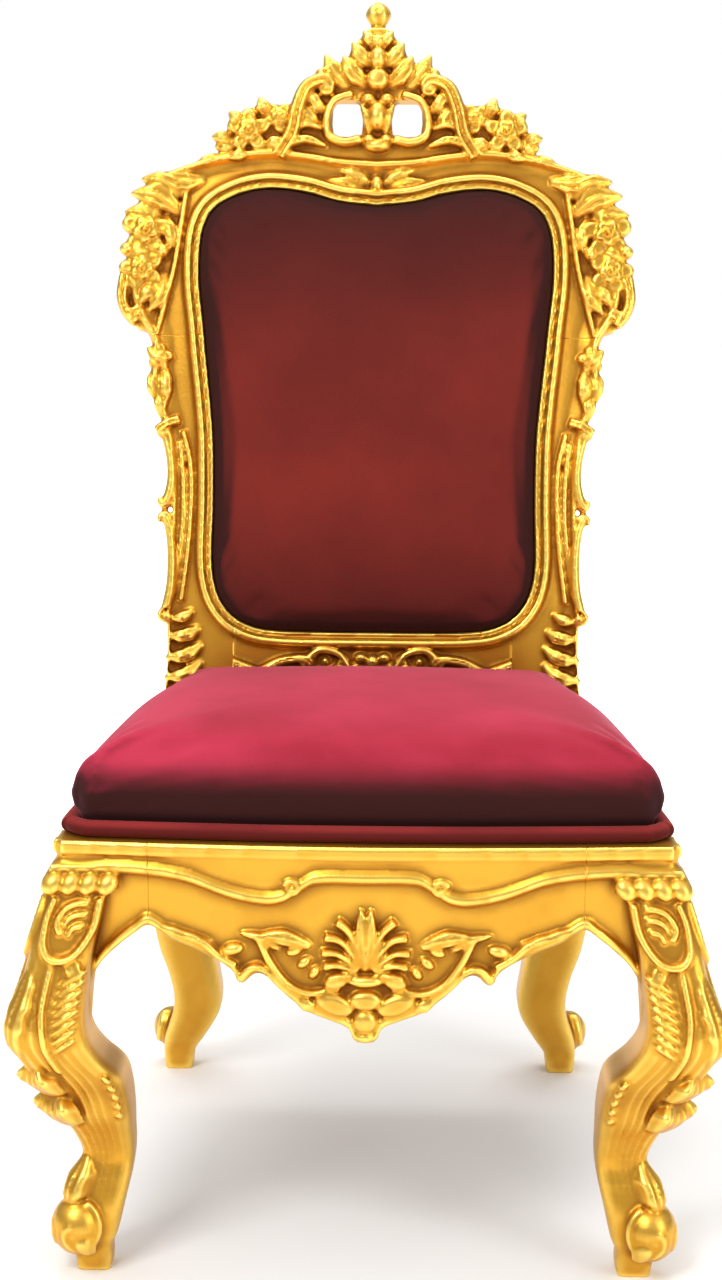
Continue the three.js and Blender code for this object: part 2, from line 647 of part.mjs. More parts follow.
const frontLeg = frontLegSolid();
const backLeg = backLegSolid();
const throne = new THREE.Group();
throne.add(
  back,
  frontRail(),
  sideRail("side_seat_rail_left", -1),
  sideRail("side_seat_rail_right", 1),
  rearRail(),
  leg("front_leg_left", frontLeg, -1),
  leg("front_leg_right", frontLeg, 1),
  leg("back_leg_left", backLeg, -1),
  leg("back_leg_right", backLeg, 1),
  seatCushion(),
  seatPiping(),
);

export default throne;
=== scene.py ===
"""A carved and gilded throne with velvet upholstery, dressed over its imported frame.

Lengths of the throne's own shapes are in millimetres until a mesh is made, and
Blender's objects are in metres.
X runs across the throne, -Y is the way the sitter faces, and Z is up.
"""

from __future__ import annotations

import logging
import math
from collections.abc import Callable, Sequence
from dataclasses import dataclass
from enum import Enum

import bmesh
import bpy
import numpy as np
from mathutils import Matrix, Vector


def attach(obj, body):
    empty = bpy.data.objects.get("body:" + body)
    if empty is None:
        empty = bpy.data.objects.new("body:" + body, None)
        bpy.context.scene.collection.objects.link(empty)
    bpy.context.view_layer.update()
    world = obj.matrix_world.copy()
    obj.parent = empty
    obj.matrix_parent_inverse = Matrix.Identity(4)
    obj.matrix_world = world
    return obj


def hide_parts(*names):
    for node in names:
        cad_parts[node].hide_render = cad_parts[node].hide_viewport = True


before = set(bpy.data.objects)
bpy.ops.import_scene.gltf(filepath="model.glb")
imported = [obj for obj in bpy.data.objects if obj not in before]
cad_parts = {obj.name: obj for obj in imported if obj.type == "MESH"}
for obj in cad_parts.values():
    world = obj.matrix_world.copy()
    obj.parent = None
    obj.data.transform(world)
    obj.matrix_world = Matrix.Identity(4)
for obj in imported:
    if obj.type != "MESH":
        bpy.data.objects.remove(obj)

log = logging.getLogger("throne")
Array = np.ndarray
Place = Callable[[Array], Array]
Point = Sequence[float]

MM = 0.001
GROUND = -5.0  # how deep the foot of a carved form sits in what it lies on


# ---- Curves and closed forms ---------------------------------------------------------------------


class Section(Enum):
    """The cross-section of a carved rib or leaf, as a height over half its width."""

    ROUND = "round"
    RIDGED = "ridged"
    FLUTED = "fluted"
    ROLLED = "rolled"

    def height(self, s: Array) -> Array:
        """The share of the full height at each place across, from -1 to 1.

        Args:
            s: Places across.

        Returns:
            The share of the height at each.
        """
        dome = np.sqrt(np.clip(1 - s**2, 0, 1))
        if self is Section.RIDGED:
            return 1 - np.abs(s) ** 1.25
        if self is Section.FLUTED:
            return dome * (0.72 + 0.28 * np.cos(3 * np.pi * s))
        if self is Section.ROLLED:
            return dome**0.6 * (0.66 - 0.34 * np.cos(2 * np.pi * s))
        return dome


def spline(stops: Sequence[Point], count: int) -> Array:
    """Points evenly spaced in parameter on a smooth curve through stops.

    Args:
        stops: Points that the curve passes through.
        count: How many points to give.

    Returns:
        An array of count points.
    """
    p = np.asarray(stops, float)
    padded = np.vstack([2 * p[0] - p[1], p, 2 * p[-1] - p[-2]])
    t = np.linspace(0, len(p) - 1, count)
    i = np.minimum(t.astype(int), len(p) - 2)
    f = (t - i)[:, None]
    a, b, c, d = (padded[i + k] for k in range(4))
    return 0.5 * (2 * b + (c - a) * f + (2 * a - 5 * b + 4 * c - d) * f**2 + (3 * b - 3 * c + d - a) * f**3)


def through(stops: Sequence[Point]) -> Callable[[Array], Array]:
    """A smooth function of one variable through stops of (x, y) in rising order of x.

    Args:
        stops: Pairs of x and y, in rising order of x.

    Returns:
        The function, for arrays of x.
    """
    xs, ys = (np.asarray(column, float) for column in zip(*stops))
    low = np.maximum(np.arange(len(xs)) - 1, 0)
    high = np.minimum(np.arange(len(xs)) + 1, len(xs) - 1)
    slope = (ys[high] - ys[low]) / (xs[high] - xs[low])

    def value(x: Array) -> Array:
        """The curve's height at x.

        Args:
            x: Places along the curve.

        Returns:
            The heights there.
        """
        at = np.clip(np.asarray(x, float), xs[0], xs[-1])
        i = np.clip(np.searchsorted(xs, at, side="right") - 1, 0, len(xs) - 2)
        span = xs[i + 1] - xs[i]
        t = (at - xs[i]) / span
        return (
            (2 * t**3 - 3 * t**2 + 1) * ys[i]
            + (t**3 - 2 * t**2 + t) * span * slope[i]
            + (3 * t**2 - 2 * t**3) * ys[i + 1]
            + (t**3 - t**2) * span * slope[i + 1]
        )

    return value


@dataclass
class Form:
    """A closed surface: its points in millimetres, and its faces as rows of point numbers."""

    points: Array
    faces: list[Sequence[int]]

    def moved(self, place: Place) -> Form:
        """The same form with its points put through place."""
        return Form(place(self.points), self.faces)

    def mirrored(self) -> Form:
        """The same form on the throne's other side."""
        return Form(self.points * (-1, 1, 1), [face[::-1] for face in self.faces])


def lofted(rings: Array, looped: bool = False) -> Form:
    """A closed form through rings of points.

    Args:
        rings: The rings, as an array of ring by point by coordinate.
        looped: Whether the last ring joins the first. Otherwise both ends are capped.

    Returns:
        The form.
    """
    count, around = rings.shape[:2]
    r = np.arange(count if looped else count - 1)[:, None]
    k = np.arange(around)[None, :]
    r2, k2 = (r + 1) % count, (k + 1) % around
    quads = np.stack([r * around + k, r * around + k2, r2 * around + k2, r2 * around + k], axis=2)
    faces: list[Sequence[int]] = quads.reshape(-1, 4).tolist()
    if not looped:
        faces.append(list(range(around))[::-1])
        faces.append(list(range((count - 1) * around, count * around)))
    return Form(rings.reshape(-1, 3), faces)


def both(forms: Sequence[Form]) -> list[Form]:
    """The forms and their mirror images."""
    return [made for form in forms for made in (form, form.mirrored())]


# ---- Carving, laid out flat: x across, y up and z out of its ground ------------------------------


def even(amount: float) -> Callable[[Array], Array]:
    """A width that is the same all along."""
    return lambda t: amount + 0 * t


def tapering(first: float, drop: float) -> Callable[[Array], Array]:
    """A width that starts at first and has lost drop at the end."""
    return lambda t: first - drop * t


def growing(first: float, gain: float) -> Callable[[Array], Array]:
    """A width that starts at first and has won gain at the end."""
    return lambda t: first + gain * t


def swell(t: Array) -> Array:
    """A width that is nothing at both ends of a leaf and full midway."""
    return np.sin(np.pi * np.minimum(0.06 + 0.94 * t, 0.985)) ** 0.7


def carved(
    path: Sequence[Point],
    width: float,
    height: float,
    section: Section = Section.ROUND,
    share: Callable[[Array], Array] = swell,
    ground: float = GROUND,
    steps: int = 26,
) -> Form:
    """A carved form along a path.

    Args:
        path: Stops of (x, y, z) on the middle of its foot.
        width: Its full width.
        height: Its full height over the path.
        section: Its cross-section.
        share: How much of the width and height there is at each share of its length.
        ground: The height of its foot.
        steps: How many rings it has.

    Returns:
        The form.
    """
    middle = spline(path, steps)
    along = np.gradient(middle[:, :2], axis=0)
    along /= np.linalg.norm(along, axis=1, keepdims=True) + 1e-9
    side = np.stack([along[:, 1], -along[:, 0]], axis=1)
    part = np.broadcast_to(share(np.linspace(0, 1, steps)), steps)
    s = np.sin(np.linspace(np.pi / 2, -np.pi / 2, 13))
    top = section.height(s)
    xy = middle[:, None, :2] + side[:, None, :] * (width / 2 * part[:, None] * s[None, :])[..., None]
    z = middle[:, 2, None] + height * part[:, None] * top[None, :]
    face = np.concatenate([xy, z[..., None]], axis=2)
    foot = face[:, [-1, 0]].copy()
    foot[..., 2] = ground
    return lofted(np.concatenate([face, foot], axis=1)[:, ::-1])


def leaf(
    root: Point,
    tip: Point,
    width: float,
    rise: float = 6,
    bend: float = 0,
    height: float = 6,
    lobes: int = 3,
    section: Section = Section.FLUTED,
) -> Form:
    """A fluted leaf with a lobed edge.

    Args:
        root: Where it grows from.
        tip: Where it ends.
        width: Its full width.
        rise: How far its middle lifts off the ground.
        bend: How far its middle bows sideways.
        height: The height of its relief.
        lobes: How many lobes its edge has.
        section: Its cross-section.

    Returns:
        The form.
    """
    (x0, y0), (x1, y1) = root, tip
    side = np.array([y0 - y1, x1 - x0]) / math.hypot(x1 - x0, y1 - y0)
    mx, my = (x0 + x1) / 2 + side[0] * bend, (y0 + y1) / 2 + side[1] * bend

    def share(t: Array) -> Array:
        """The leaf's width, nicked between its lobes."""
        return swell(t) * (1 - 0.13 * np.abs(np.sin(np.pi * lobes * t)))

    path = [(x0, y0, 0), (mx, my, rise), (x1, y1, rise * 0.7)]
    return carved(path, width * 1.08, height, section, share, steps=8 + 8 * lobes)


def dome(centre: Point, across: float, up: float, height: float, turned: float = 0, dish: float = 0) -> Form:
    """A low dome on an oval foot.

    Args:
        centre: The middle of its foot.
        across: Its half width before it is turned.
        up: Its half height before it is turned.
        height: How far it stands out.
        turned: Its turn in radians.
        dish: How much of its height its middle is hollowed by.

    Returns:
        The form.
    """
    angles = np.linspace(0, 2 * np.pi, 22, endpoint=False)
    radii = np.array([1, 1, 0.94, 0.82, 0.66, 0.48, 0.28, 0.08])
    z = height * (np.sqrt(1 - radii**2) - dish * (1 - radii**2) ** 2)
    z[0] = GROUND
    x = across * radii[:, None] * np.cos(angles)
    y = up * radii[:, None] * np.sin(angles)
    c, s = math.cos(turned), math.sin(turned)
    rings = np.stack(
        [centre[0] + c * x - s * y, centre[1] + s * x + c * y, np.broadcast_to(z[:, None], x.shape)], axis=2
    )
    return lofted(rings)


def flower(centre: Point, radius: float, height: float, turned: float = 0) -> list[Form]:
    """An open flower: an outer and an inner ring of dished petals round a button.

    Args:
        centre: The middle, across and up.
        radius: The reach of the outer petals.
        height: How far the button stands out.
        turned: The angle of the first petal.

    Returns:
        The petals and the button.
    """
    forms = [dome(centre, radius * 0.7, radius * 0.7, height * 0.45)]
    for petals, reach, long, wide, tall, start in (
        (5, 0.62, 0.42, 0.37, 0.72, 0.0), (5, 0.27, 0.27, 0.22, 1.0, 0.6)
    ):
        for i in range(petals):
            angle = turned + start + 2 * math.pi * i / petals
            middle = (
                centre[0] + radius * reach * math.cos(angle), centre[1] + radius * reach * math.sin(angle)
            )
            forms.append(dome(middle, radius * long, radius * wide, height * tall, angle, dish=0.42))
    forms.append(dome(centre, radius * 0.15, radius * 0.15, height * 1.05))
    return forms


def curl(
    centre: Point, radius: float, start: float, hand: int, thick: float, height: float, turns: float = 1.15
) -> list[Form]:
    """A scroll's end, winding inwards from an angle round a centre to a button in its eye.

    Args:
        centre: The eye, across and up.
        radius: The reach of the outer end.
        start: The angle of the outer end.
        hand: 1 or -1, for the way it winds.
        thick: The width of the strand at its outer end.
        height: How far the strand stands out.
        turns: How many times it goes round.

    Returns:
        The strand and its button.
    """
    t = np.linspace(0, 1, 9)
    angle = start + hand * turns * 2 * np.pi * t
    reach = radius * (1 - 0.7 * t)
    path = np.stack(
        [centre[0] + reach * np.cos(angle), centre[1] + reach * np.sin(angle), 0 * t + height * 0.3], axis=1
    )
    wound = carved(path, thick, height * 0.7, Section.ROUND, tapering(1, 0.5), steps=40)
    return [wound, dome(centre, radius * 0.34, radius * 0.34, height * 1.15)]


def plate(outline: Sequence[Point], back: float, front: float) -> Form:
    """A flat board of the given outline between two heights.

    Args:
        outline: The corners, in order.
        back: The lower height.
        front: The upper height.

    Returns:
        The board.
    """
    edge = np.asarray(outline, float)
    area = np.sum(edge[:, 0] * np.roll(edge[:, 1], -1) - edge[:, 1] * np.roll(edge[:, 0], -1))
    if area < 0:
        edge = edge[::-1]
    levels = [np.column_stack([edge, np.full(len(edge), z)]) for z in (back, front)]
    return lofted(np.stack(levels))


# ---- Meshes --------------------------------------------------------------------------------------


def mesh_of(name: str, forms: Sequence[Form]) -> bpy.types.Object:
    """A new object in metres of all the forms together.

    Args:
        name: The object's name.
        forms: Closed forms in millimetres.

    Returns:
        The object, linked to the scene.
    """
    points: list[Array] = []
    faces: list[Sequence[int]] = []
    start = 0
    for form in forms:
        points.append(form.points * MM)
        faces.extend([i + start for i in face] for face in form.faces)
        start += len(form.points)
    mesh = bpy.data.meshes.new(name)
    mesh.from_pydata(np.concatenate(points).tolist(), [], faces)
    made = bpy.data.objects.new(name, mesh)
    bpy.context.scene.collection.objects.link(made)
    return made


def apply_modifiers(made: bpy.types.Object) -> None:
    """Gives an object the mesh that its modifiers make, and takes them off.

    Args:
        made: The object.
    """
    mesh = bpy.data.meshes.new_from_object(made.evaluated_get(bpy.context.evaluated_depsgraph_get()))
    made.modifiers.clear()
    old, made.data = made.data, mesh
    bpy.data.meshes.remove(old)


def fuse(made: bpy.types.Object, voxel: float, smoothing: int = 2) -> None:
    """Joins overlapping closed forms into one skin, as carving grows out of its ground.

    Args:
        made: The object, whose mesh is replaced.
        voxel: The size of the skin's faces in millimetres.
        smoothing: How many rounds of smoothing follow.
    """
    remesh = made.modifiers.new("skin", "REMESH")
    remesh.mode = "VOXEL"
    remesh.voxel_size = voxel * MM
    remesh.use_smooth_shade = True
    if smoothing:
        smooth = made.modifiers.new("smooth", "SMOOTH")
        smooth.factor = 0.5
        smooth.iterations = smoothing
    apply_modifiers(made)
    mark_relief(made)


def mark_relief(made: bpy.types.Object) -> None:
    """Stores on each point how far it lies under its smoothed surroundings, in millimetres, near and far.

    Args:
        made: The object, which gets the attributes "fine" and "broad".
    """
    mesh = made.data
    count = len(mesh.vertices)
    flat = np.empty(count * 3)
    mesh.vertices.foreach_get("co", flat)
    at = flat.reshape(-1, 3).copy()
    mesh.vertices.foreach_get("normal", flat)
    normal = flat.reshape(-1, 3)
    ends = np.empty(len(mesh.edges) * 2, np.int64)
    mesh.edges.foreach_get("vertices", ends)
    a, b = ends.reshape(-1, 2).T
    degree = np.maximum(np.bincount(a, minlength=count) + np.bincount(b, minlength=count), 1)
    smooth = at.copy()
    for name, rounds in (("fine", 4), ("broad", 30)):
        for _ in range(rounds):
            sums = [
                np.bincount(a, smooth[b, k], count) + np.bincount(b, smooth[a, k], count) for k in range(3)
            ]
            smooth = np.stack(sums, axis=1) / degree[:, None]
        layer = mesh.attributes.new(name, "FLOAT", "POINT")
        layer.data.foreach_set("value", ((smooth - at) * normal).sum(axis=1) / MM)


def cut(made: bpy.types.Object, point: Point, away: Point) -> None:
    """Cuts an object off flat and closes the cut.

    Args:
        made: The object.
        point: A point of the plane, in metres.
        away: The plane's normal, pointing at what goes.
    """
    work = bmesh.new()
    work.from_mesh(made.data)
    every = work.verts[:] + work.edges[:] + work.faces[:]
    cutting = bmesh.ops.bisect_plane(work, geom=every, plane_co=point, plane_no=away, clear_outer=True)
    edges = [e for e in cutting["geom_cut"] if isinstance(e, bmesh.types.BMEdge)]
    filled = bmesh.ops.triangle_fill(work, use_beauty=True, use_dissolve=False, edges=edges, normal=away)
    for face in filled["geom"]:
        if isinstance(face, bmesh.types.BMFace):
            face.smooth = False
    work.to_mesh(made.data)
    work.free()


def level(made: bpy.types.Object, top: float) -> None:
    """Presses a leg's ends flat, at the floor and at its top.

    Args:
        made: The leg.
        top: The height of its top in metres.
    """
    skin = 0.0012
    for vertex in made.data.vertices:
        if vertex.co.z < skin:
            vertex.co.z = 0
        elif vertex.co.z > top - skin:
            vertex.co.z = top
    made.data.update()


def mirror_copy(made: bpy.types.Object, name: str) -> bpy.types.Object:
    """A copy of an object on the throne's other side.

    Args:
        made: The object on the right.
        name: The copy's name.

    Returns:
        The copy.
    """
    mesh = made.data.copy()
    mesh.transform(Matrix.Scale(-1, 4, (1, 0, 0)))
    mesh.flip_normals()
    copy = bpy.data.objects.new(name, mesh)
    bpy.context.scene.collection.objects.link(copy)
    return copy


def thin(made: bpy.types.Object, most: int) -> None:
    """Takes triangles out of the plain stretches of a piece, and leaves its detail.

    Args:
        made: The piece.
        most: How many triangles it may keep.
    """
    made.data.calc_loop_triangles()
    share = most / max(len(made.data.loop_triangles), 1)
    if share >= 1:
        return
    modifier = made.modifiers.new("thin", "DECIMATE")
    modifier.ratio = share
    apply_modifiers(made)


def seat_in_frame(made: bpy.types.Object, node: str, material: bpy.types.Material) -> None:
    """Puts a finished piece in the place of its CAD node, with its finish.

    Args:
        made: The finished piece.
        node: The CAD node that it stands for.
        material: The finish.
    """
    made.data.materials.clear()
    made.data.materials.append(material)
    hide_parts(node)
    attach(made, "root")
    log.info("%s: %d faces", made.name, len(made.data.polygons))


# ---- The back's frame ----------------------------------------------------------------------------


@dataclass
class BackFrame:
    """The moulded and carved frame of the back, in its own plane: u across, w up and n to the sitter."""

    foot: Point = (0.0, 195.0, 460.0)
    recline: float = math.radians(9)
    thick: float = 34.0
    crest_joint: float = 466.0
    rail_joint: float = 165.0
    voxel: float = 2.0
    sight: Sequence[Point] = (
        (0, 114), (60, 114), (
            109, 115
        ), (140, 119), (165, 131), (181, 150), (189, 172), (192, 196), (192, 224),
        (
            191, 258
        ), (191, 300), (192, 345), (196, 392), (201, 438), (205, 480), (210, 525), (210, 566), (205, 596),
        (192, 618), (163, 634), (128, 641), (86, 637), (44, 626), (0, 621),
    )
    outline: Sequence[Point] = (
        (0, -5), (66, -5), (124, -5), (172, -5), (222, -5), (249, -5), (247, 38), (244, 88), (
            245, 134
        ), (241, 185),
        (
            240, 240
        ), (241, 302), (250, 352), (266, 408), (266, 456), (288, 500), (293, 560), (288, 614), (258, 654),
        (196, 678), (138, 688), (92, 685), (46, 678), (0, 675),
    )

    def place(self, p: Array) -> Array:
        """Points of the back's own plane in the throne's frame, still in millimetres.

        Args:
            p: Points u, w and n.

        Returns:
            The same points in the throne's frame.
        """
        c, s = math.cos(self.recline), math.sin(self.recline)
        u, w, n = p[:, 0], p[:, 1], p[:, 2]
        return np.column_stack([u, self.foot[1] + w * s - n * c, self.foot[2] + w * c + n * s])

    def point(self, u: float, w: float) -> Point:
        """A point on the plane, in metres, for a cut."""
        return tuple(self.place(np.array([[u, w, 0.0]]))[0] * MM)

    @property
    def upward(self) -> Point:
        """The way up the back."""
        return (0, math.sin(self.recline), math.cos(self.recline))

    def edges(self, fine: int = 8) -> tuple[Array, Array, Array]:
        """Points of the sight edge and the outline, and the way out of the sight edge, station by station.

        Args:
            fine: How many stations there are.

        Returns:
            The sight edge, the outline and the way out.
        """
        count = (len(self.sight) - 1) * fine + 1
        sight, outer = spline(self.sight, count), spline(self.outline, count)
        along = np.gradient(sight, axis=0)
        along[0], along[-1] = (1, 0), (-1, 0)
        along /= np.linalg.norm(along, axis=1, keepdims=True)
        return sight, outer, np.stack([along[:, 1], -along[:, 0]], axis=1)

    def moulding(self, first: float, last: float) -> Form:
        """The right half of the moulded ring between two shares of its run from the bottom to the top.

        Args:
            first: The share where it begins.
            last: The share where it ends.

        Returns:
            The closed moulding.
        """
        sight, outer, away = self.edges()
        keep = slice(int(first * (len(sight) - 1)), int(last * (len(sight) - 1)) + 1)
        sight, outer, away = sight[keep], outer[keep], away[keep]
        run = outer - (sight + 19.5 * away)
        reach = np.linalg.norm(run, axis=1, keepdims=True)
        edge = run / reach
        rows: list[Array] = []

        def row(base: Array, way: Array, s: float | Array, n: float) -> None:
            """Adds one line of the moulding at s from its base and n out of the plane."""
            rows.append(np.column_stack([base + way * s, np.full(len(base), n)]))

        row(sight, away, 0, -self.thick)
        for s, n in (
            (0, 3.5), (0.7, 5.8), (2.2, 7), (4.2, 6.4), (5.6, 4.2), (6.4, 2.6), (7.3, 4.5), (8.6, 9),
            (10.5, 12)
        ):
            row(sight, away, s, n)
        for s, n in ((13, 13), (15.3, 12.2), (17.4, 9.4), (18.8, 5), (20.5, 1.5)):
            row(sight, away, s, n)
        for part, n in ((0.3, -0.5), (0.55, -1.5), (0.75, 0.0)):
            row(sight + 19.5 * away, edge, part * (reach - 12), n)
        for s, n in (
            (12, 2.5), (9, 6.5), (6, 9), (3, 8.2), (1, 5.5), (0, 2), (0, -self.thick + 4), (4, -self.thick)
        ):
            row(outer, edge, -s, n)
        return lofted(np.stack(rows, axis=1))

    def cresting(self) -> list[Form]:
        """The pierced crest with its scroll arms, cartouche, leaves and bud.

        Returns:
            Its forms, on both sides.
        """
        back = -24.0
        bridge = [
            (-112, 660), (-106, 698), (-56, 705), (-18, 703), (18, 703), (56, 705), (106, 698), (112, 660)
        ]
        upper_half = [
            (60, 747), (97, 742), (88, 763), (74, 774), (58, 776), (60, 792), (48, 786), (36, 796),
            (31, 811), (18, 824), (9, 834)
        ]
        upper = [(-u, w) for u, w in upper_half] + upper_half[::-1]
        cheek = [(57, 700), (106, 696), (99, 718), (97, 744), (60, 752), (53, 742), (54, 722), (52, 708)]
        arm = [(118, 680, 1), (102, 706, 4), (95, 736, 7), (84, 761, 8), (64, 770, 6), (54, 762, 5)]
        sided = [
            plate(cheek, back, 0),
            carved(arm, 21, 12, Section.ROLLED, tapering(1, 0.35), steps=44),
            *curl((62, 760), 9, 1.9, 1, 7, 11),
            carved(
                [(20, 700, 3), (40, 696, 5), (57, 704, 5), (60, 724, 5), (52, 745, 5), (30, 754, 4)], 12, 9,
                Section.ROUND, tapering(1, 0.3)
            ),
            carved([(64, 712, 2), (84, 717, 5), (100, 708, 3)], 8, 6),
            carved([(60, 692, 3), (88, 699, 6), (118, 686, 3)], 11, 8, Section.ROLLED),
            leaf((36, 762), (63, 801), 20, rise=5, bend=-3, height=7),
            leaf((12, 764), (41, 799), 22, rise=8, bend=-4, height=7),
            leaf((4, 786), (31, 815), 18, rise=9, bend=-3, height=6),
            leaf((2, 806), (18, 829), 13, rise=8, height=6),
            leaf((10, 704), (20, 742), 12, rise=6, bend=4, lobes=2),
            leaf((68, 714), (90, 744), 18, rise=6, bend=-4),
            leaf((62, 730), (80, 760), 15, rise=7, bend=-3),
            leaf((60, 776), (74, 780), 12, rise=6, lobes=2),
            dome((10, 700), 8, 6, 15),
            dome((11, 748), 9, 7, 14),
        ]
        middle = [
            plate(bridge, back, 0),
            plate(upper, back, 0),
            plate([(-19, 698), (-17, 726), (-22, 752), (22, 752), (17, 726), (19, 698)], back, 0),
            dome((0, 728), 13, 19, 17),
            dome((0, 693), 17, 9, 13),
            dome((0, 771), 15, 14, 20, dish=0.25),
            dome((0, 796), 12, 15, 17),
            dome((0, 816), 9, 10, 13),
            self.bud(),
        ]
        return [*both(sided), *middle]

    def bud(self) -> Form:
        """The fluted bud on the very top.

        Returns:
            The bud.
        """
        stops = [
            (2, 820), (9, 824), (10, 832), (8, 837), (13, 846), (14.5, 853), (11, 860), (5, 865), (0.6, 867)
        ]
        profile = spline(stops, 40)
        angles = np.linspace(0, 2 * np.pi, 40, endpoint=False)
        flutes = 1 + 0.07 * np.cos(6 * angles[None, :] + profile[:, 1, None] / 9)
        r = profile[:, 0, None] * flutes
        w = np.broadcast_to(profile[:, 1, None], r.shape)
        return lofted(np.stack([-r * np.cos(angles), w, -11 + 0.75 * r * np.sin(angles)], axis=2))

    def sprays(self) -> list[Form]:
        """The flowers beside the cresting and on the shoulders, with their leaves.

        Returns:
            Their forms, on both sides.
        """
        bed = [(84, 664), (90, 700), (96, 724), (106, 740), (136, 744), (163, 731), (182, 706), (186, 662)]
        fringe = [
            leaf((104, 704), (90, 738), 15, bend=-4, rise=7),
            leaf((132, 726), (140, 750), 16, rise=8, lobes=2),
            leaf((160, 718), (177, 731), 15, rise=8, lobes=2),
            leaf((172, 700), (197, 702), 15, rise=7, lobes=2),
            leaf((184, 680), (216, 669), 14, rise=4),
            leaf((136, 690), (112, 700), 13, rise=10, lobes=2),
            leaf((150, 684), (178, 676), 13, rise=8, lobes=2),
        ]
        crest = [
            plate(bed, -22, 0),
            *flower((153, 710), 26, 19, 0.3),
            *flower((117, 726), 18, 16, 0.9),
            *flower((181, 690), 12, 12, 0.1),
            *fringe,
        ]
        shoulder = [
            plate([(256, 466), (284, 474), (298, 494), (301, 520), (298, 545), (256, 560)], -22, 0),
            leaf((262, 572), (297, 556), 18, rise=7, lobes=2),
            leaf((252, 600), (300, 612), 22, rise=6, bend=5),
            leaf((206, 652), (264, 657), 24, bend=-6, rise=6, height=7),
            leaf((226, 632), (280, 651), 22, bend=6, rise=10, height=7),
            leaf((232, 612), (292, 634), 26, bend=8, rise=9, height=7),
            *flower((274, 590), 30, 21, 0.4),
            *flower((279, 545), 27, 19, 1.3),
            dome((297, 568), 9, 8, 13),
            dome((254, 566), 8, 9, 13),
            leaf((252, 610), (246, 566), 15, bend=-4, rise=6),
            leaf((252, 540), (270, 494), 20, rise=7, bend=-6),
            leaf((264, 536), (284, 500), 15, rise=8, bend=-3, lobes=2),
            carved(
                [(299, 536, 1), (302, 512, 3), (297, 494, 5), (286, 480, 5)], 15, 9, Section.ROLLED,
                tapering(1, 0.25)
            ),
            *curl((283, 490), 10, -1.2, 1, 7, 11),
            carved(
                [(226, 640, 1), (232, 600, 3), (240, 548, 3), (252, 500, 3), (262, 462, 2)], 8, 7,
                Section.ROUND, even(0.8), steps=50
            ),
        ]
        centre = [
            leaf((8, 634), (60, 652), 15, rise=3, bend=4, height=5),
            leaf((6, 646), (44, 664), 12, rise=3, bend=3, height=5),
        ]
        return [*both(crest), *both(shoulder), *both(centre), dome((0, 645), 8, 13, 13)]

    def stile_carving(self) -> list[Form]:
        """The carving down the right stile: a husk over a collar, two long scrolls, and leaves at the foot.

        Returns:
            Its forms, on the right.
        """
        return [
            *flower((257, 440), 16, 14, 0.5),
            leaf((248, 424), (272, 452), 16, rise=7, lobes=2),
            leaf((262, 428), (262, 388), 15, rise=6, bend=3),
            leaf((250, 430), (248, 384), 15, rise=7),
            leaf((256, 404), (254, 366), 16, rise=6, lobes=2),
            carved([(232, 366, 2), (246, 361, 5), (260, 352, 4)], 13, 9, Section.ROLLED, even(0.9)),
            dome((251, 350), 9, 7, 11),
            carved(
                [(250, 350, 2), (243, 322, 4), (241, 296, 4), (245, 274, 4), (252, 262, 4)], 12, 8,
                Section.ROUND, growing(0.8, 0.2)
            ),
            *curl((248, 268), 8, 0.6, -1, 6, 11),
            *curl((248, 248), 8, -0.6, 1, 6, 11),
            carved(
                [(252, 254, 4), (244, 238, 4), (240, 205, 4), (241, 168, 4), (246, 142, 4)], 12, 8,
                Section.ROUND, growing(0.8, 0.2)
            ),
            *curl((247, 132), 8, 1.2, -1, 6, 11),
            carved(
                [(228, 352, 1), (219, 312, 2), (218, 262, 2), (222, 205, 2), (229, 150, 1)], 6, 4,
                Section.ROUND, even(1), steps=50
            ),
            carved(
                [(232, 340, 1), (228, 300, 2), (227, 255, 2), (231, 205, 2), (237, 160, 1)], 6, 4,
                Section.ROUND, even(1), steps=50
            ),
            leaf((214, 138), (242, 128), 13, rise=6, bend=-3, lobes=2),
            leaf((206, 118), (244, 108), 16, rise=8, bend=-5),
            leaf((204, 98), (247, 82), 17, rise=8, bend=-6),
            leaf((204, 78), (248, 58), 17, rise=9, bend=-7),
            leaf((204, 54), (248, 30), 18, rise=8, bend=-7),
            leaf((206, 24), (246, 4), 16, rise=6, bend=-5),
        ]

    def rail_carving(self) -> list[Form]:
        """The scalloped ridge and the swag of the lower rail.

        Returns:
            Its forms, on both sides.
        """
        ridge = [
            (214, 44, 2), (192, 56, 4), (174, 77, 6), (150, 71, 6), (134, 67, 6), (108, 79, 6), (82, 82, 6),
            (72, 76, 5)
        ]
        sided = [
            carved(ridge, 10, 8, Section.ROLLED, even(1), steps=90),
            carved(
                [(84, 74, 3), (64, 92, 6), (40, 88, 6), (28, 72, 5)], 9, 8, Section.ROUND, tapering(1, 0.2)
            ),
            *curl((36, 78), 8, 1.2, 1, 6, 10),
            *curl((74, 80), 8, 2.6, -1, 6, 10),
            leaf((18, 74), (52, 70), 10, rise=4, lobes=2),
            dome((14, 84), 8, 6, 11),
            dome((56, 80), 5, 5, 10),
        ]
        return [*both(sided), dome((0, 80), 8, 8, 12)]

    def build(self, gilt: bpy.types.Material) -> None:
        """Builds and dresses the four members of the frame.

        Args:
            gilt: The finish of the carved wood.
        """
        half = self.moulding(0.52, 1.0)
        crest = mesh_of(
            "crest", [f.moved(self.place) for f in (*both([half]), *self.cresting(), *self.sprays())]
        )
        fuse(crest, self.voxel)
        up, down = Vector(self.upward), -Vector(self.upward)
        cut(crest, self.point(0, self.crest_joint), down)
        thin(crest, 180_000)
        seat_in_frame(crest, "crest_rail", gilt)

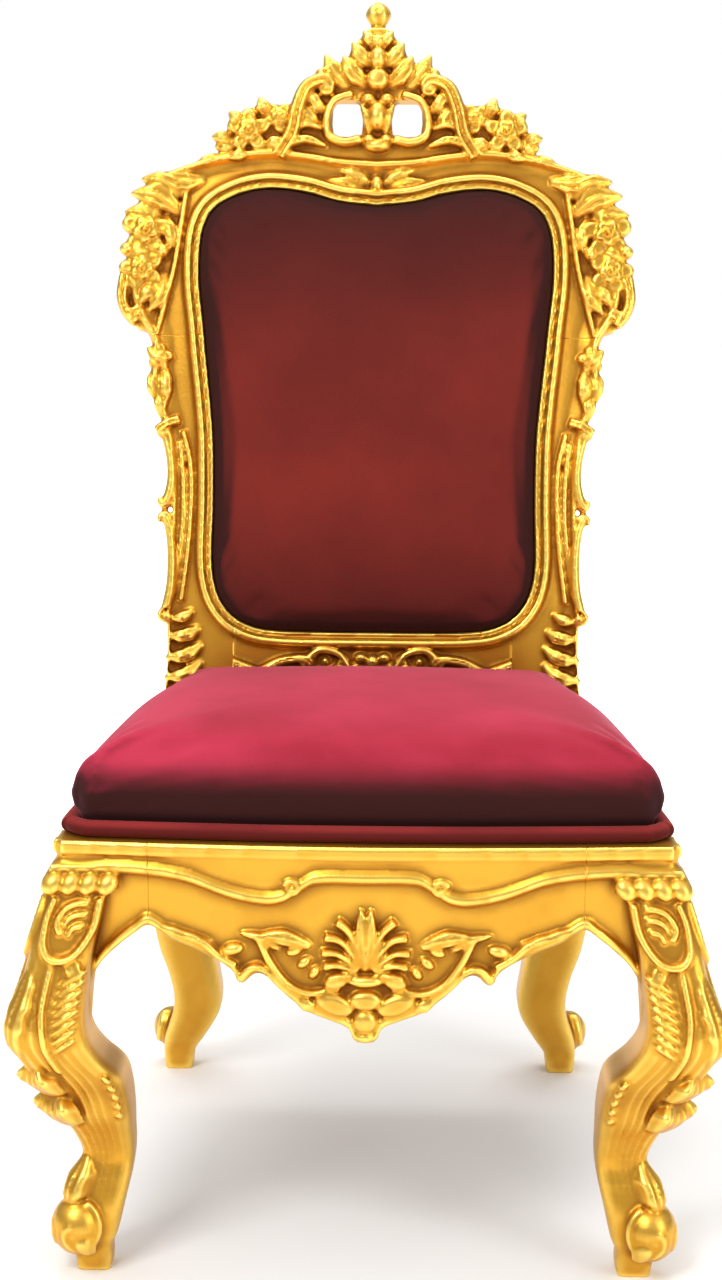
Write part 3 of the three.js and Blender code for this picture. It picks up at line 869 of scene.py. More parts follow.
        stile_forms = [self.moulding(0.12, 0.72), *self.stile_carving()]
        stile = mesh_of("stile_right_carved", [f.moved(self.place) for f in stile_forms])
        fuse(stile, self.voxel)
        cut(stile, self.point(0, self.crest_joint), up)
        cut(stile, self.point(self.rail_joint, 0), (-1, 0, 0))
        thin(stile, 74_000)
        seat_in_frame(stile, "stile_right", gilt)
        seat_in_frame(mirror_copy(stile, "stile_left_carved"), "stile_left", gilt)

        rail_forms = [*both([self.moulding(0.0, 0.24)]), *self.rail_carving()]
        rail = mesh_of("lower_rail_carved", [f.moved(self.place) for f in rail_forms])
        fuse(rail, self.voxel)
        for side in (1, -1):
            cut(rail, self.point(side * self.rail_joint, 0), (side, 0, 0))
        thin(rail, 46_000)
        seat_in_frame(rail, "lower_back_rail", gilt)


# ---- The seat's rails ----------------------------------------------------------------------------


@dataclass
class Rail:
    """A moulded seat rail whose lower edge and moulding run along it, and how it lies in the throne."""

    lower: Callable[[Array], Array]
    moulding: Callable[[Array], Array]
    place: Callable[[Array, Array, Array], Array]
    top: float = 450.0
    thick: float = 30.0

    def body(self, first: float, last: float, middle: float = 0.0) -> Form:
        """The moulded body between two places along it, whose pattern is centred on middle.

        Args:
            first: Where it begins.
            last: Where it ends.
            middle: The place that its pattern is centred on.

        Returns:
            The closed body.
        """
        along = np.linspace(first, last, int(abs(last - first) / 3) + 1)
        reach = np.abs(along - middle)
        low, band = self.lower(reach), self.moulding(reach)
        level = np.zeros_like(along)
        rows = [
            (
                -self.thick, self.top + level
            ), (3, self.top + level), (5, self.top - 2 + level), (5, self.top - 11 + level),
            (
                3.5, self.top - 13 + level
            ), (1, band + 17), (-0.5, band + 13), (2, band + 10), (5, band + 6), (5, band + 2),
            (2.5, band - 1), (
                -1.5, band - 3
            ), (-2.5, band - 7), (-2.5, low + 15), (-1, low + 12), (3, low + 9),
            (4, low + 5), (2.5, low + 1.5), (-1, low), (-self.thick, low),
        ]
        rings = np.stack([self.place(along, out + level, z) for out, z in rows], axis=1)
        return lofted(rings[:, ::-1])


@dataclass
class SeatFrame:
    """The seat's rails and the front legs, which carry short ears of the rails."""

    corner: Point = (300.0, -300.0)
    rear_corner: Point = (258.0, 215.0)
    bow: float = 14.0
    ear: float = 212.0
    side_ear: float = 88.0
    side_end: float = 493.0
    gap: float = 0.3
    voxel: float = 2.0
    front_lower: Sequence[Point] = (
        (0, 253), (11, 255), (15, 266), (34, 275), (54, 283), (76, 299), (97, 319), (
            108, 321
        ), (121, 311), (131, 325),
        (165, 344), (190, 354), (212, 367), (226, 358), (242, 345), (260, 326), (271, 304), (282, 270),
    )
    front_band: Sequence[Point] = (
        (0, 415), (50, 414), (66, 405), (80, 396), (98, 393), (132, 399), (176, 414), (226, 420), (300, 420),
    )
    side_band: Sequence[Point] = ((0, 402), (60, 406), (140, 417), (300, 420))
    leg_stops: Sequence[Point] = (
        (0, 272, 17), (
            12, 272, 18.5
        ), (27, 273, 19.5), (40, 272, 24), (66, 269, 27), (96, 262, 27), (120, 258, 26),
        (145, 262, 30), (167, 268, 36), (192, 274, 40), (214, 283, 44), (238, 298, 41.5), (258, 307, 40),
        (280, 308, 37), (312, 302, 33), (350, 294, 31), (400, 280, 30), (450, 268, 31),
    )

    def __post_init__(self) -> None:
        """Works out the run of the side rails and the curves of the front legs."""
        run = np.subtract(self.rear_corner, self.corner)
        self.way = run / np.linalg.norm(run)
        self.out = np.array([self.way[1], -self.way[0]])
        self.side_half = (self.side_end - self.side_ear - self.gap) / 2
        self.side_middle = self.side_ear + self.gap + self.side_half
        self.leg_out = through([(z, out) for z, out, _ in self.leg_stops])
        self.leg_half = through([(z, half) for z, _, half in self.leg_stops])

    def bow_at(self, x: Array) -> Array:
        """How far the front rail swells forward."""
        return self.bow * np.cos(np.pi / 2 * np.minimum(np.abs(x) / 280, 1))

    def front(self) -> Rail:
        """The front rail, with the ears beside it.

        Returns:
            The rail.
        """

        def place(along: Array, out: Array, z: Array) -> Array:
            """A point of the rail at a distance along it, out of its face and up."""
            return np.column_stack([along, self.corner[1] - self.bow_at(along) - out, z])

        return Rail(through(self.front_lower), through(self.front_band), place)

    def side(self) -> Rail:
        """The right side rail, with its ear.

        Returns:
            The rail.
        """
        half = self.side_half
        lower = through([
            (0, 346), (40, 350), (78, 358), (100, 350), (122, 358), (166, 364), (
                half, 368
            ), (222, 357), (242, 341),
            (256, 322), (266, 300), (290, 250),
        ])

        def place(along: Array, out: Array, z: Array) -> Array:
            """A point of the rail at a distance along it, out of its face and up."""
            xy = np.asarray(self.corner) + along[:, None] * self.way + out[:, None] * self.out
            return np.column_stack([xy, z])

        return Rail(lower, through(self.side_band), place)

    def onto_front(self, p: Array) -> Array:
        """Flat carving stood on the front rail's bowed face."""
        return np.column_stack([p[:, 0], self.corner[1] - self.bow_at(p[:, 0]) - p[:, 2], p[:, 1]])

    def onto_side(self, p: Array) -> Array:
        """Flat carving, centred on the right side rail's middle, stood on its face."""
        xy = np.asarray(self.corner) + (self.side_middle + p[:, :1]) * self.way + p[:, 2:] * self.out
        return np.column_stack([xy, p[:, 1]])

    def onto_leg(self, p: Array) -> Array:
        """Flat carving, centred on the leg, stood on the right front leg's front face."""
        out, half = self.leg_out(p[:, 1]), self.leg_half(p[:, 1])
        return np.column_stack([out + p[:, 0], -(out + half + p[:, 2]), p[:, 1]])

    def onto_corner(self, p: Array) -> Array:
        """Flat carving stood on the outer corner of the right front leg."""
        reach = self.leg_out(p[:, 1]) + self.leg_half(p[:, 1]) * 0.79 + p[:, 2] * math.sqrt(0.5)
        return np.column_stack([reach + p[:, 0] * math.sqrt(0.5), -reach + p[:, 0] * math.sqrt(0.5), p[:, 1]])

    @staticmethod
    def turn_over(form: Form) -> Form:
        """The same form on the leg's other outer face."""
        p = form.points
        return Form(np.column_stack([-p[:, 1], -p[:, 0], p[:, 2]]), [face[::-1] for face in form.faces])

    def apron_carving(self) -> list[Form]:
        """The palmette, the scrolled fields beside it, and the petals over the drop.

        Returns:
            Its forms, on both sides.
        """
        steady = tapering(1, 0.25)
        sided = [
            carved(
                [(5, 330, 0), (10, 352, 2), (17, 366, 3), (28, 376, 3)], 9, 5, Section.RIDGED,
                growing(0.55, 0.45)
            ),
            carved(
                [(6, 329, 0), (15, 346, 2), (26, 357, 3), (40, 360, 3)], 9, 5, Section.RIDGED,
                growing(0.55, 0.45)
            ),
            carved(
                [(7, 327, 0), (19, 338, 2), (30, 344, 3), (43, 344, 3)], 8, 5, Section.RIDGED,
                growing(0.55, 0.45)
            ),
            carved(
                [(8, 325, 0), (20, 330, 2), (30, 332, 3), (41, 330, 3)], 8, 5, Section.RIDGED,
                growing(0.55, 0.45)
            ),
            carved(
                [(9, 322, 0), (18, 322, 2), (28, 321, 3), (36, 318, 2)], 7, 5, Section.RIDGED,
                growing(0.55, 0.45)
            ),
            leaf((54, 350), (106, 360), 15, rise=3, bend=4, height=5, lobes=2),
            carved(
                [(104, 357, 0), (93, 334, 1), (76, 312, 1), (54, 303, 1), (26, 308, 0)], 8, 5,
                Section.ROUND, steady, steps=50
            ),
            dome((70, 345), 8, 4.5, 5, -0.3),
            dome((60, 334), 8, 4.5, 5, -0.7),
            dome((50, 324), 7, 4.5, 5, -1.0),
            dome((29, 315), 12, 8, 7, -0.3),
            carved(
                [(124, 314, 0), (112, 327, 2), (98, 326, 2), (80, 308, 1), (54, 291, 0)], 8, 6,
                Section.ROLLED, steady, steps=50
            ),
            dome((30, 292), 20, 11, 9, 0.35, dish=0.25),
            leaf((44, 284), (70, 298), 12, rise=3, height=4, lobes=2),
            dome((129, 346), 11, 6, 6, -0.2),
            carved(
                [(178, 360, 0), (158, 352, 2), (142, 338, 2), (126, 330, 1)], 8, 5, Section.ROLLED, steady
            ),
            leaf((150, 352), (206, 370), 12, rise=2, bend=-3, height=4),
            leaf((84, 346), (122, 362), 9, rise=2, bend=4, height=4, lobes=2),
            *curl((72, 408), 9, 0.4, 1, 6, 6),
        ]
        heart = [
            leaf((0, 326), (-5, 388), 15, rise=4, height=5, lobes=1),
            leaf((0, 326), (5, 388), 15, rise=4, height=5, lobes=1)
        ]
        middle = [
            dome((0, 316), 18, 6, 8), dome((0, 296), 16, 10, 8, dish=0.2), dome((0, 274), 12, 13, 7),
            dome((0, 259), 10, 6, 7)
        ]
        return [f.moved(self.onto_front) for f in (*both(sided), *heart, *middle)]

    def leg_post(self) -> Form:
        """The bent post of the right front leg, fluted down its outer faces.

        Returns:
            The post.
        """
        z = np.concatenate([[0.0], np.linspace(1.5, 450, 150)])
        out, half = self.leg_out(z), self.leg_half(z)
        half[0] -= 1.5
        angles = np.linspace(0, 2 * np.pi, 96, endpoint=False)
        c, s = np.cos(angles), np.sin(angles)
        square = (np.abs(c) ** 5 + np.abs(s) ** 5) ** (-1 / 5)
        fade = np.clip((z - 70) / 30, 0, 1) * np.clip((345 - z) / 30, 0, 1)
        outer = np.clip(c - s, 0, 1)
        ripple = 1 - 0.028 * fade[:, None] * outer * (1 + np.cos(28 * angles))
        r = half[:, None] * square * ripple
        return lofted(
            np.stack(
                [out[:, None] + r * c, -out[:, None] + r * s, np.broadcast_to(z[:, None], r.shape)], axis=2
            )
        )

    def toe(self, x: float, y: float, reach: float, height: float, radius: float) -> list[Form]:
        """The rolled toe that points outwards at the foot, with a coil on each face.

        Args:
            x: The toe's middle, across.
            y: The toe's middle, from front to back.
            reach: How far the toe sits out from (x, y), along the diagonal.
            height: The height of the toe's middle.
            radius: The toe's size.

        Returns:
            The toe and its coils.
        """
        way = np.array([np.sign(x), np.sign(y)]) * math.sqrt(0.5)
        middle = np.array([x, y]) + way * reach
        angles = np.linspace(0, 2 * np.pi, 32, endpoint=False)
        tilt = np.linspace(-0.5 * np.pi, 0.5 * np.pi, 18)
        r, h = np.cos(tilt)[:, None] + 1e-3, np.sin(tilt)[:, None]
        ball = np.stack(
            [
                radius * r * np.cos(angles), radius * r * np.sin(angles),
                np.broadcast_to(1.1 * radius * h, (18, 32))
            ], axis=2
        )
        ball += (*middle, height)
        coils: list[Form] = []
        for face in (1, 0):
            t = np.linspace(0, 1, 30)
            angle = 1.9 + 1.7 * np.pi * t
            reach_in = radius * (0.9 - 0.62 * t)
            flat = np.stack(
                [
                    reach_in * np.cos(angle), 1.1 * reach_in * np.sin(angle),
                    radius * np.sqrt(np.clip(1 - (reach_in / radius) ** 2, 0, 1)) - 1.5
                ], axis=1
            )
            coil = carved(flat, 9, 4, Section.ROUND, tapering(1, 0.4), ground=-2, steps=60)
            p = coil.points
            across, up, depth = p[:, 0] * np.sign(x if face else y), p[:, 1], p[:, 2]
            if face:
                placed = np.column_stack([middle[0] + across, middle[1] + np.sign(y) * depth, height + up])
            else:
                placed = np.column_stack([middle[0] + np.sign(x) * depth, middle[1] + across, height + up])
            coils.append(Form(placed, coil.faces))
        return [lofted(ball), *coils]

    def leg_carving(self) -> list[Form]:
        """The lobed band, cartouche, ribs and leaves of the right front leg.

        Returns:
            Its forms.
        """
        steady = tapering(1, 0.2)
        face = [
            *[dome((a, 409), 10.5, 11, 8) for a in (-27, -9, 9, 26)],
            carved([(-33, 424, 0), (0, 424, 0), (33, 424, 0)], 6, 3, Section.ROUND, even(1)),
            carved(
                [
                    (-24, 396, 1), (-25, 366, 1), (-14, 343, 2), (4, 338, 2), (17, 350, 1), (22, 376, 1),
                    (20, 396, 1)
                ], 8, 5.5, Section.ROUND, steady, steps=60
            ),
            carved([(-14, 392, 0), (4, 388, 2), (11, 374, 2), (4, 362, 1)], 7, 4.5, Section.ROUND, steady),
            carved([(-15, 381, 0), (-2, 379, 2), (4, 370, 1)], 6, 4, Section.ROUND, steady),
            carved([(-15, 370, 0), (-6, 368, 1), (-3, 360, 1)], 6, 4, Section.ROUND, steady),
            leaf((-6, 344), (-26, 318), 14, rise=2, height=4, lobes=2),
            *[
                carved([(-30, z + 3, 0), (-20, z - 2, 1.5), (-6, z - 12, 0)], 5.5, 3.5, Section.ROUND)
                for z in range(262, 330, 9)
            ],
            carved(
                [(6, 336, 0), (6, 300, 1.5), (2, 262, 1.5), (6, 226, 0)], 6, 3, Section.ROUND, even(1),
                steps=50
            ),
            *[dome((-33 + 1.5 * i, 216 - 11 * i), 3.6, 4.2, 4) for i in range(5)],
        ]
        placed = [f.moved(self.onto_leg) for f in face]
        lumps = [
            dome((0, 206), 22, 13, 13),
            dome((0, 172), 24, 15, 15),
            *[
                leaf((a * 0.4, 226), (a, 194 + abs(a) * 0.3), 17, rise=8, height=8, lobes=2)
                for a in (-21, -7, 7, 21)
            ],
            *[
                leaf((a * 0.4, 194), (a, 156 + abs(a) * 0.4), 19, rise=10, height=9, lobes=2)
                for a in (-24, -8, 8, 24)
            ],
            leaf((0, 334), (0, 232), 26, rise=3, height=6, lobes=5),
            leaf((0, 122), (0, 64), 26, rise=9, height=8, lobes=3),
            *[dome((a, 36), 10, 13, 17 - abs(a) * 0.2) for a in (-19, 0, 19)],
        ]
        return [*placed, *(self.turn_over(f) for f in placed), *(f.moved(self.onto_corner) for f in lumps)]

    def side_carving(self) -> list[Form]:
        """The plainer palmette and scrolls of the right side rail.

        Returns:
            Its forms, on both halves.
        """
        sided = [
            carved([(5, 352, 0), (14, 366, 2), (28, 372, 2)], 8, 5, Section.RIDGED, growing(0.55, 0.45)),
            carved([(6, 350, 0), (20, 356, 2), (36, 358, 2)], 8, 5, Section.RIDGED, growing(0.55, 0.45)),
            carved([(104, 354, 0), (82, 366, 2), (60, 362, 2), (44, 354, 0)], 8, 5, Section.ROLLED),
            leaf((112, 362), (168, 378), 13, rise=2, bend=-3, height=4),
            leaf((196, 374), (150, 390), 11, rise=2, bend=3, height=4),
        ]
        forms = [
            *both(sided), leaf((0, 350), (0, 384), 18, rise=3, height=5, lobes=1), dome((0, 352), 10, 5, 7)
        ]
        return [f.moved(self.onto_side) for f in forms]

    def build(self, gilt: bpy.types.Material) -> None:
        """Builds and dresses the rails and the front legs.

        Args:
            gilt: The finish of the carved wood.
        """
        front = self.front()
        rail = mesh_of("apron", [front.body(-self.ear - 14, self.ear + 14), *self.apron_carving()])
        fuse(rail, self.voxel)
        for side in (1, -1):
            cut(rail, (side * self.ear * MM, 0, 0), (side, 0, 0))
        thin(rail, 110_000)
        seat_in_frame(rail, "front_seat_rail", gilt)

        side = self.side()
        first, last = self.side_ear - 14, self.side_end + 10
        flank = mesh_of(
            "side_rail_right_carved", [side.body(first, last, self.side_middle), *self.side_carving()]
        )
        fuse(flank, 2.6)
        for run, sign in ((self.side_ear, -1), (self.side_end, 1)):
            point = (np.asarray(self.corner) + run * self.way) * MM
            cut(flank, (*point, 0), (*(sign * self.way), 0))
        thin(flank, 34_000)
        seat_in_frame(flank, "side_seat_rail_right", gilt)
        seat_in_frame(mirror_copy(flank, "side_rail_left_carved"), "side_seat_rail_left", gilt)

        ears = [front.body(self.ear - 14, 297), side.body(3, self.side_ear + 14, self.side_middle)]
        forms = [self.leg_post(), *ears, *self.toe(272, -272, 20, 49, 28), *self.leg_carving()]
        leg = mesh_of("front_leg_right_carved", forms)
        fuse(leg, self.voxel)
        cut(leg, (self.ear * MM, 0, 0), (-1, 0, 0))
        point = (np.asarray(self.corner) + self.side_ear * self.way) * MM
        cut(leg, (*point, 0), (*self.way, 0))
        level(leg, 0.45)
        thin(leg, 110_000)
        seat_in_frame(leg, "front_leg_right", gilt)
        seat_in_frame(mirror_copy(leg, "front_leg_left_carved"), "front_leg_left", gilt)


@dataclass
class RearRail:
    """The plain moulded rail between the back legs, seen only from behind."""

    half: float = 211.8
    profile: Sequence[Point] = (
        (
            197.5, 368
        ), (197.5, 446), (226.6, 446), (226.6, 434), (225.2, 431), (222.6, 430), (223.4, 427), (225, 424),
        (
            223.4, 421
        ), (221.6, 419), (221.2, 412), (221.2, 392), (222, 386), (225.4, 383), (226.6, 378), (225.4, 372),
        (222, 368),
    )

    def build(self, gilt: bpy.types.Material) -> None:
        """Builds and dresses the rail.

        Args:
            gilt: The finish of the carved wood.
        """
        edge = np.array(self.profile)
        rings = np.stack([np.column_stack([np.full(len(edge), x), edge]) for x in (self.half, -self.half)])
        rosettes = flower((0, 402), 22, 9) + both([leaf((26, 402), (84, 402), 18, rise=4, lobes=4)])
        placed = [
            f.moved(lambda p: np.column_stack([-p[:, 0], 221 + p[:, 2] * 0.5, p[:, 1]])) for f in rosettes
        ]
        made = mesh_of("rear_rail_moulded", [lofted(rings), *placed])
        fuse(made, 2.6, smoothing=1)
        thin(made, 16_000)
        seat_in_frame(made, "rear_seat_rail", gilt)


@dataclass
class BackLegs:
    """The plainer back legs: height, place along X and Y, and half widths along X and Y."""

    voxel: float = 2.6
    stops: Sequence[Point] = (
        (0, 241, 291, 17, 17), (12, 241, 291, 18.5, 18.5), (26, 240, 290, 20, 20), (45, 233, 285, 25, 25),
        (80, 218, 273, 29, 29), (105, 214, 264, 30, 30), (140, 218, 252, 31, 31), (180, 226, 241, 34, 32),
        (240, 234, 229, 34, 29), (310, 237, 220, 30, 25), (362, 240, 215, 28, 22), (420, 238, 212, 26, 18),
        (446, 234, 212, 22, 18),
    )

    def post(self) -> Form:
        """The bent post of the right back leg.

        Returns:
            The post.
        """
        z = np.linspace(0, 446, 150)
        x, y, half_x, half_y = (through([(stop[0], stop[k]) for stop in self.stops])(z) for k in range(1, 5))
        angles = np.linspace(0, 2 * np.pi, 64, endpoint=False)
        c, s = np.cos(angles), np.sin(angles)
        square = (np.abs(c) ** 5 + np.abs(s) ** 5) ** (-1 / 5)
        rings = [
            x[:, None] + half_x[:, None] * square * c, y[:, None] + half_y[:, None] * square * s,
            np.broadcast_to(z[:, None], (150, 64))
        ]
        return lofted(np.stack(rings, axis=2))

    def build(self, frame_of_seat: SeatFrame, gilt: bpy.types.Material) -> None:
        """Builds and dresses both back legs.

        Args:
            frame_of_seat: The seat's frame, whose toe is used again.
            gilt: The finish of the carved wood.
        """
        leg = mesh_of("back_leg_right_carved", [self.post(), *frame_of_seat.toe(238, 288, 20, 47, 23)])
        fuse(leg, self.voxel)
        level(leg, 0.446)
        thin(leg, 24_000)
        seat_in_frame(leg, "back_leg_right", gilt)
        seat_in_frame(mirror_copy(leg, "back_leg_left_carved"), "back_leg_left", gilt)


# ---- Upholstery ----------------------------------------------------------------------------------


def iron(made: bpy.types.Object, rounds: int) -> None:
    """Draws a cover taut, which takes the small wrinkles out of it.

    Args:
        made: The cover.
        rounds: How often it is drawn.
    """
    modifier = made.modifiers.new("taut", "SMOOTH")
    modifier.factor = 0.5
    modifier.iterations = rounds
    apply_modifiers(made)


def inflate(
    made: bpy.types.Object, voxel: float, pressure: float, cap: float, held: Callable[[Array], Array]
) -> None:
    """Swells a closed cushion with the cloth simulation and keeps the result.

    Args:
        made: The cushion.
        voxel: The size of its cloth's faces in millimetres.
        pressure: The pressure inside it.
        cap: The furthest that a point may move, in millimetres.
        held: Which points stay where they are, from 0 to 1, for an array of points in metres.
    """
    fuse(made, voxel, smoothing=1)
    points = np.empty(len(made.data.vertices) * 3)
    made.data.vertices.foreach_get("co", points)
    before = points.reshape(-1, 3).copy()
    group = made.vertex_groups.new(name="held")
    weights = held(before)
    for weight in (1.0, 0.5):
        chosen = np.flatnonzero(np.abs(weights - weight) < 0.25).tolist()
        group.add(chosen, weight, "REPLACE")
    cloth = made.modifiers.new("cloth", "CLOTH")
    settings = cloth.settings
    settings.quality = 5
    settings.mass = 0.3
    settings.tension_stiffness = 25
    settings.compression_stiffness = 25
    settings.bending_stiffness = 0.8
    settings.use_pressure = True
    settings.uniform_pressure_force = pressure
    settings.vertex_group_mass = "held"
    settings.effector_weights.gravity = 0
    scene = bpy.context.scene
    scene.frame_start, scene.frame_end = 1, 20
    cloth.point_cache.frame_start, cloth.point_cache.frame_end = 1, 20
    for number in range(1, 21):
        scene.frame_set(number)
    apply_modifiers(made)
    scene.frame_set(1)
    made.data.vertices.foreach_get("co", points)
    moved = points.reshape(-1, 3) - before
    length = np.linalg.norm(moved, axis=1, keepdims=True)
    moved *= np.minimum(1, cap * MM / np.maximum(length, 1e-9))
    made.data.vertices.foreach_set("co", (before + moved).ravel())
    made.data.update()


@dataclass
class Seat:
    """The domed velvet seat and the roll round its foot."""

    front: float = -288.0
    back: float = 178.0
    front_half: float = 297.0
    back_half: float = 246.0
    corner: float = 36.0
    bulge: float = 8.0
    base: float = 450.4
    roll: float = 9.0

    def loop(self, inset: float, share: float, z: float, frame_of_seat: SeatFrame, fine: int = 8) -> Array:
        """The seat's plan at height z, drawn in by inset and then by a share towards its middle.

        Args:
            inset: How far the plan is drawn in.
            share: How far it is then drawn to its middle, 0 to 1.
            z: The height.
            frame_of_seat: The seat's frame, which the plan follows.
            fine: How many points there are.

        Returns:
            The points of the closed loop.
        """
        wide, narrow, r = self.front_half, self.back_half, self.corner
        bow = frame_of_seat.bow_at

        def arc(x: float, y: float, start: float) -> list[Point]:
            """A rounded corner about (x, y)."""
            angles = np.radians(start + np.linspace(0, 90, 4))
            return [(x + (r - inset) * math.cos(a), y + (r - inset) * math.sin(a)) for a in angles]

        def flank(t: float) -> Point:
            """A point on the side, at a share of the way to the back.

            Args:
                t: The share of the way to the back.

            Returns:
                The point.
            """
            return (
                wide + (narrow - wide) * t + self.bulge - inset, self.front + (self.back - self.front) * t
            )

        half = [
            *[(x, self.front - float(bow(x)) + inset) for x in (70, 165)],
            *arc(wide - r, self.front + r - float(bow(wide - r)), -90),
            flank(0.35),
            flank(0.65),
            *arc(narrow - r, self.back - r, 0),
            (90, self.back - inset),
        ]
        ring = np.array([*half, *[(-x, y) for x, y in half[::-1]]])
        closed = np.vstack([ring[-2:], ring, ring[:3]])
        smooth = spline(closed, (len(closed) - 1) * fine + 1)[2 * fine : -2 * fine - 1]
        smooth = smooth[: len(ring) * fine]
        middle = np.array([0, (self.front + self.back) / 2])
        spoke = smooth - middle
        turn = np.arctan2(spoke[:, 1] * wide, spoke[:, 0] * (middle[1] - self.front))
        oval = np.column_stack([wide * 0.93 * np.cos(turn), (middle[1] - self.front) * 0.93 * np.sin(turn)])
        spoke += (oval - spoke) * min(1.6 * share, 1)
        smooth = middle + spoke * (1 - share)
        return np.column_stack([smooth, np.full(len(smooth), z)])

    def cushion(self, frame_of_seat: SeatFrame, velvet: bpy.types.Material) -> None:
        """Builds the seat's cushion and swells it.

        Args:
            frame_of_seat: The seat's frame, which the plan follows.
            velvet: The cloth's finish.
        """
        stops = [
            (16, 0, self.base + 1), (
                15.5, 0, self.base + 12
            ), (14.5, 0, self.base + 19), (5, 0, self.base + 26),
            (2, 0, 486), (4, 0, 500), (9, 0, 513), (18, 0, 524), (29, 0.02, 532), (33, 0.08, 538),
            (33, 0.17, 543), (33, 0.3, 548), (33, 0.5, 553), (33, 0.72, 556.3), (33, 0.97, 557.5),
        ]
        levels = spline(stops, 60)
        rings = np.stack([self.loop(i, s, z, frame_of_seat) for i, s, z in levels])
        made = mesh_of("seat_velvet", [lofted(rings)])
        low = (self.base + 24) * MM
        inflate(made, 5.0, 4.0, 6.0, lambda p: (p[:, 2] < low).astype(float))
        iron(made, 5)
        subdivide(made)
        thin(made, 50_000)
        seat_in_frame(made, "seat_cushion", velvet)

    def piping(self, frame_of_seat: SeatFrame, velvet: bpy.types.Material) -> None:
        """Builds the velvet roll.

        Args:
            frame_of_seat: The seat's frame, which the plan follows.
            velvet: The cloth's finish.
        """
        outer = self.loop(0, 0, 0, frame_of_seat)
        inner = self.loop(14, 0, 0, frame_of_seat)
        out = outer - inner
        out /= np.linalg.norm(out, axis=1, keepdims=True)
        middle = inner + out * (self.roll + 0.3)
        angles = np.linspace(0, -2 * np.pi, 24, endpoint=False)
        r = self.roll * 0.97
        rings = middle[:, None, :] + out[:, None, :] * (r * np.cos(angles))[None, :, None]
        rings[..., 2] = self.base + r * 0.9 + r * 0.92 * np.sin(angles)[None, :]
        made = mesh_of("seat_roll", [lofted(rings, looped=True)])
        for polygon in made.data.polygons:
            polygon.use_smooth = True
        subdivide(made)
        seat_in_frame(made, "seat_piping", velvet)


def subdivide(made: bpy.types.Object) -> None:
    """Rounds a soft piece off with one subdivision.

    Args:
        made: The piece.
    """
    modifier = made.modifiers.new("round", "SUBSURF")
    modifier.levels = modifier.render_levels = 1
    apply_modifiers(made)


class BackUpholstery:
    """The velvet pad in the back's frame and the covered board behind it."""

    def loop(self, shape: BackFrame, inset: float, share: float, n: float) -> Array:
        """The sight edge at height n, drawn in by inset and then by a share towards its middle.

        Args:
            shape: The back's frame, whose sight edge is followed.
            inset: How far the edge is drawn in.
            share: How far it is then drawn to its middle, 0 to 1.
            n: The height out of the back's plane.

        Returns:
            The points of the closed loop.
        """
        sight, _, away = shape.edges(6)
        half = sight - inset * away
        half[[0, -1], 0] = 0
        ring = np.vstack([half, (half[1:-1] * (-1, 1))[::-1]])
        ring = ring + (np.array([0, 375]) - ring) * share
        return np.column_stack([ring, np.full(len(ring), n)])

    def pad(self, shape: BackFrame, velvet: bpy.types.Material) -> None:
        """Builds the pad and swells it.

        Args:
            shape: The back's frame, whose sight edge is followed.
            velvet: The cloth's finish.
        """
        stops = [
            (0.3, 0, -23.5), (0.3, 0, -6), (0.4, 0, 3), (3, 0, 10), (9, 0, 15.5), (
                16, 0.04, 18.5
            ), (20, 0.2, 20.5),
            (20, 0.5, 22), (20, 0.97, 22.5),
        ]
        rings = np.stack([self.loop(shape, *level) for level in spline(stops, 40)])
        made = mesh_of("back_velvet", [lofted(rings).moved(shape.place)])
        normal = np.array([0, -math.cos(shape.recline), math.sin(shape.recline)])
        origin = np.array(shape.point(0, 0))
        inflate(made, 4.0, 2.0, 2.5, lambda p: ((p - origin) @ normal < 0.002).astype(float))
        iron(made, 9)
        subdivide(made)
        thin(made, 44_000)
        seat_in_frame(made, "back_pad", velvet)

    def panel(self, shape: BackFrame, cloth: bpy.types.Material) -> None:
        """Builds the covered board, whose cloth is drawn over a soft edge.

        Args:
            shape: The back's frame, whose sight edge is followed.
            cloth: The cloth's finish.
        """
        stops = [
            (1.4, 0, -24.5), (1.4, 0, -28.5), (2.2, 0, -30.2), (4.5, 0, -31), (12, 0.02, -31.3),
            (12, 0.97, -31.6)
        ]
        rings = np.stack([self.loop(shape, *level) for level in spline(stops, 30)])
        made = mesh_of("rear_cover", [lofted(rings[::-1]).moved(shape.place)])
        for polygon in made.data.polygons:
            polygon.use_smooth = True
        seat_in_frame(made, "back_panel", cloth)


# ---- Finishes ------------------------------------------------------------------------------------


class Nodes:
    """A small helper that adds and links nodes in one tree."""

    def __init__(self, tree: bpy.types.NodeTree) -> None:
        """Keeps the tree."""
        self.tree = tree

    def add(self, kind: str, **values: object) -> bpy.types.Node:
        """A new node with attributes set.

        Args:
            kind: The type of node.
            values: What to set on it.

        Returns:
            The node.
        """
        node = self.tree.nodes.new(kind)
        for name, value in values.items():
            setattr(node, name, value)
        return node

    def link(self, source: bpy.types.NodeSocket, target: bpy.types.NodeSocket) -> None:
        """Joins two sockets."""
        self.tree.links.new(source, target)

    def ramp(
        self, fac: bpy.types.NodeSocket, stops: Sequence[tuple[float, Sequence[float]]]
    ) -> bpy.types.NodeSocket:
        """A colour ramp over fac with the given stops of place and colour.

        Args:
            fac: What the ramp is read at.
            stops: Pairs of place and colour.

        Returns:
            The colour.
        """
        node = self.add("ShaderNodeValToRGB")
        ramp = node.color_ramp
        while len(ramp.elements) < len(stops):
            ramp.elements.new(0.5)
        for element, (place, colour) in zip(ramp.elements, stops):
            element.position = place
            element.color = (*colour, 1)
        self.link(fac, node.inputs["Fac"])
        return node.outputs["Color"]


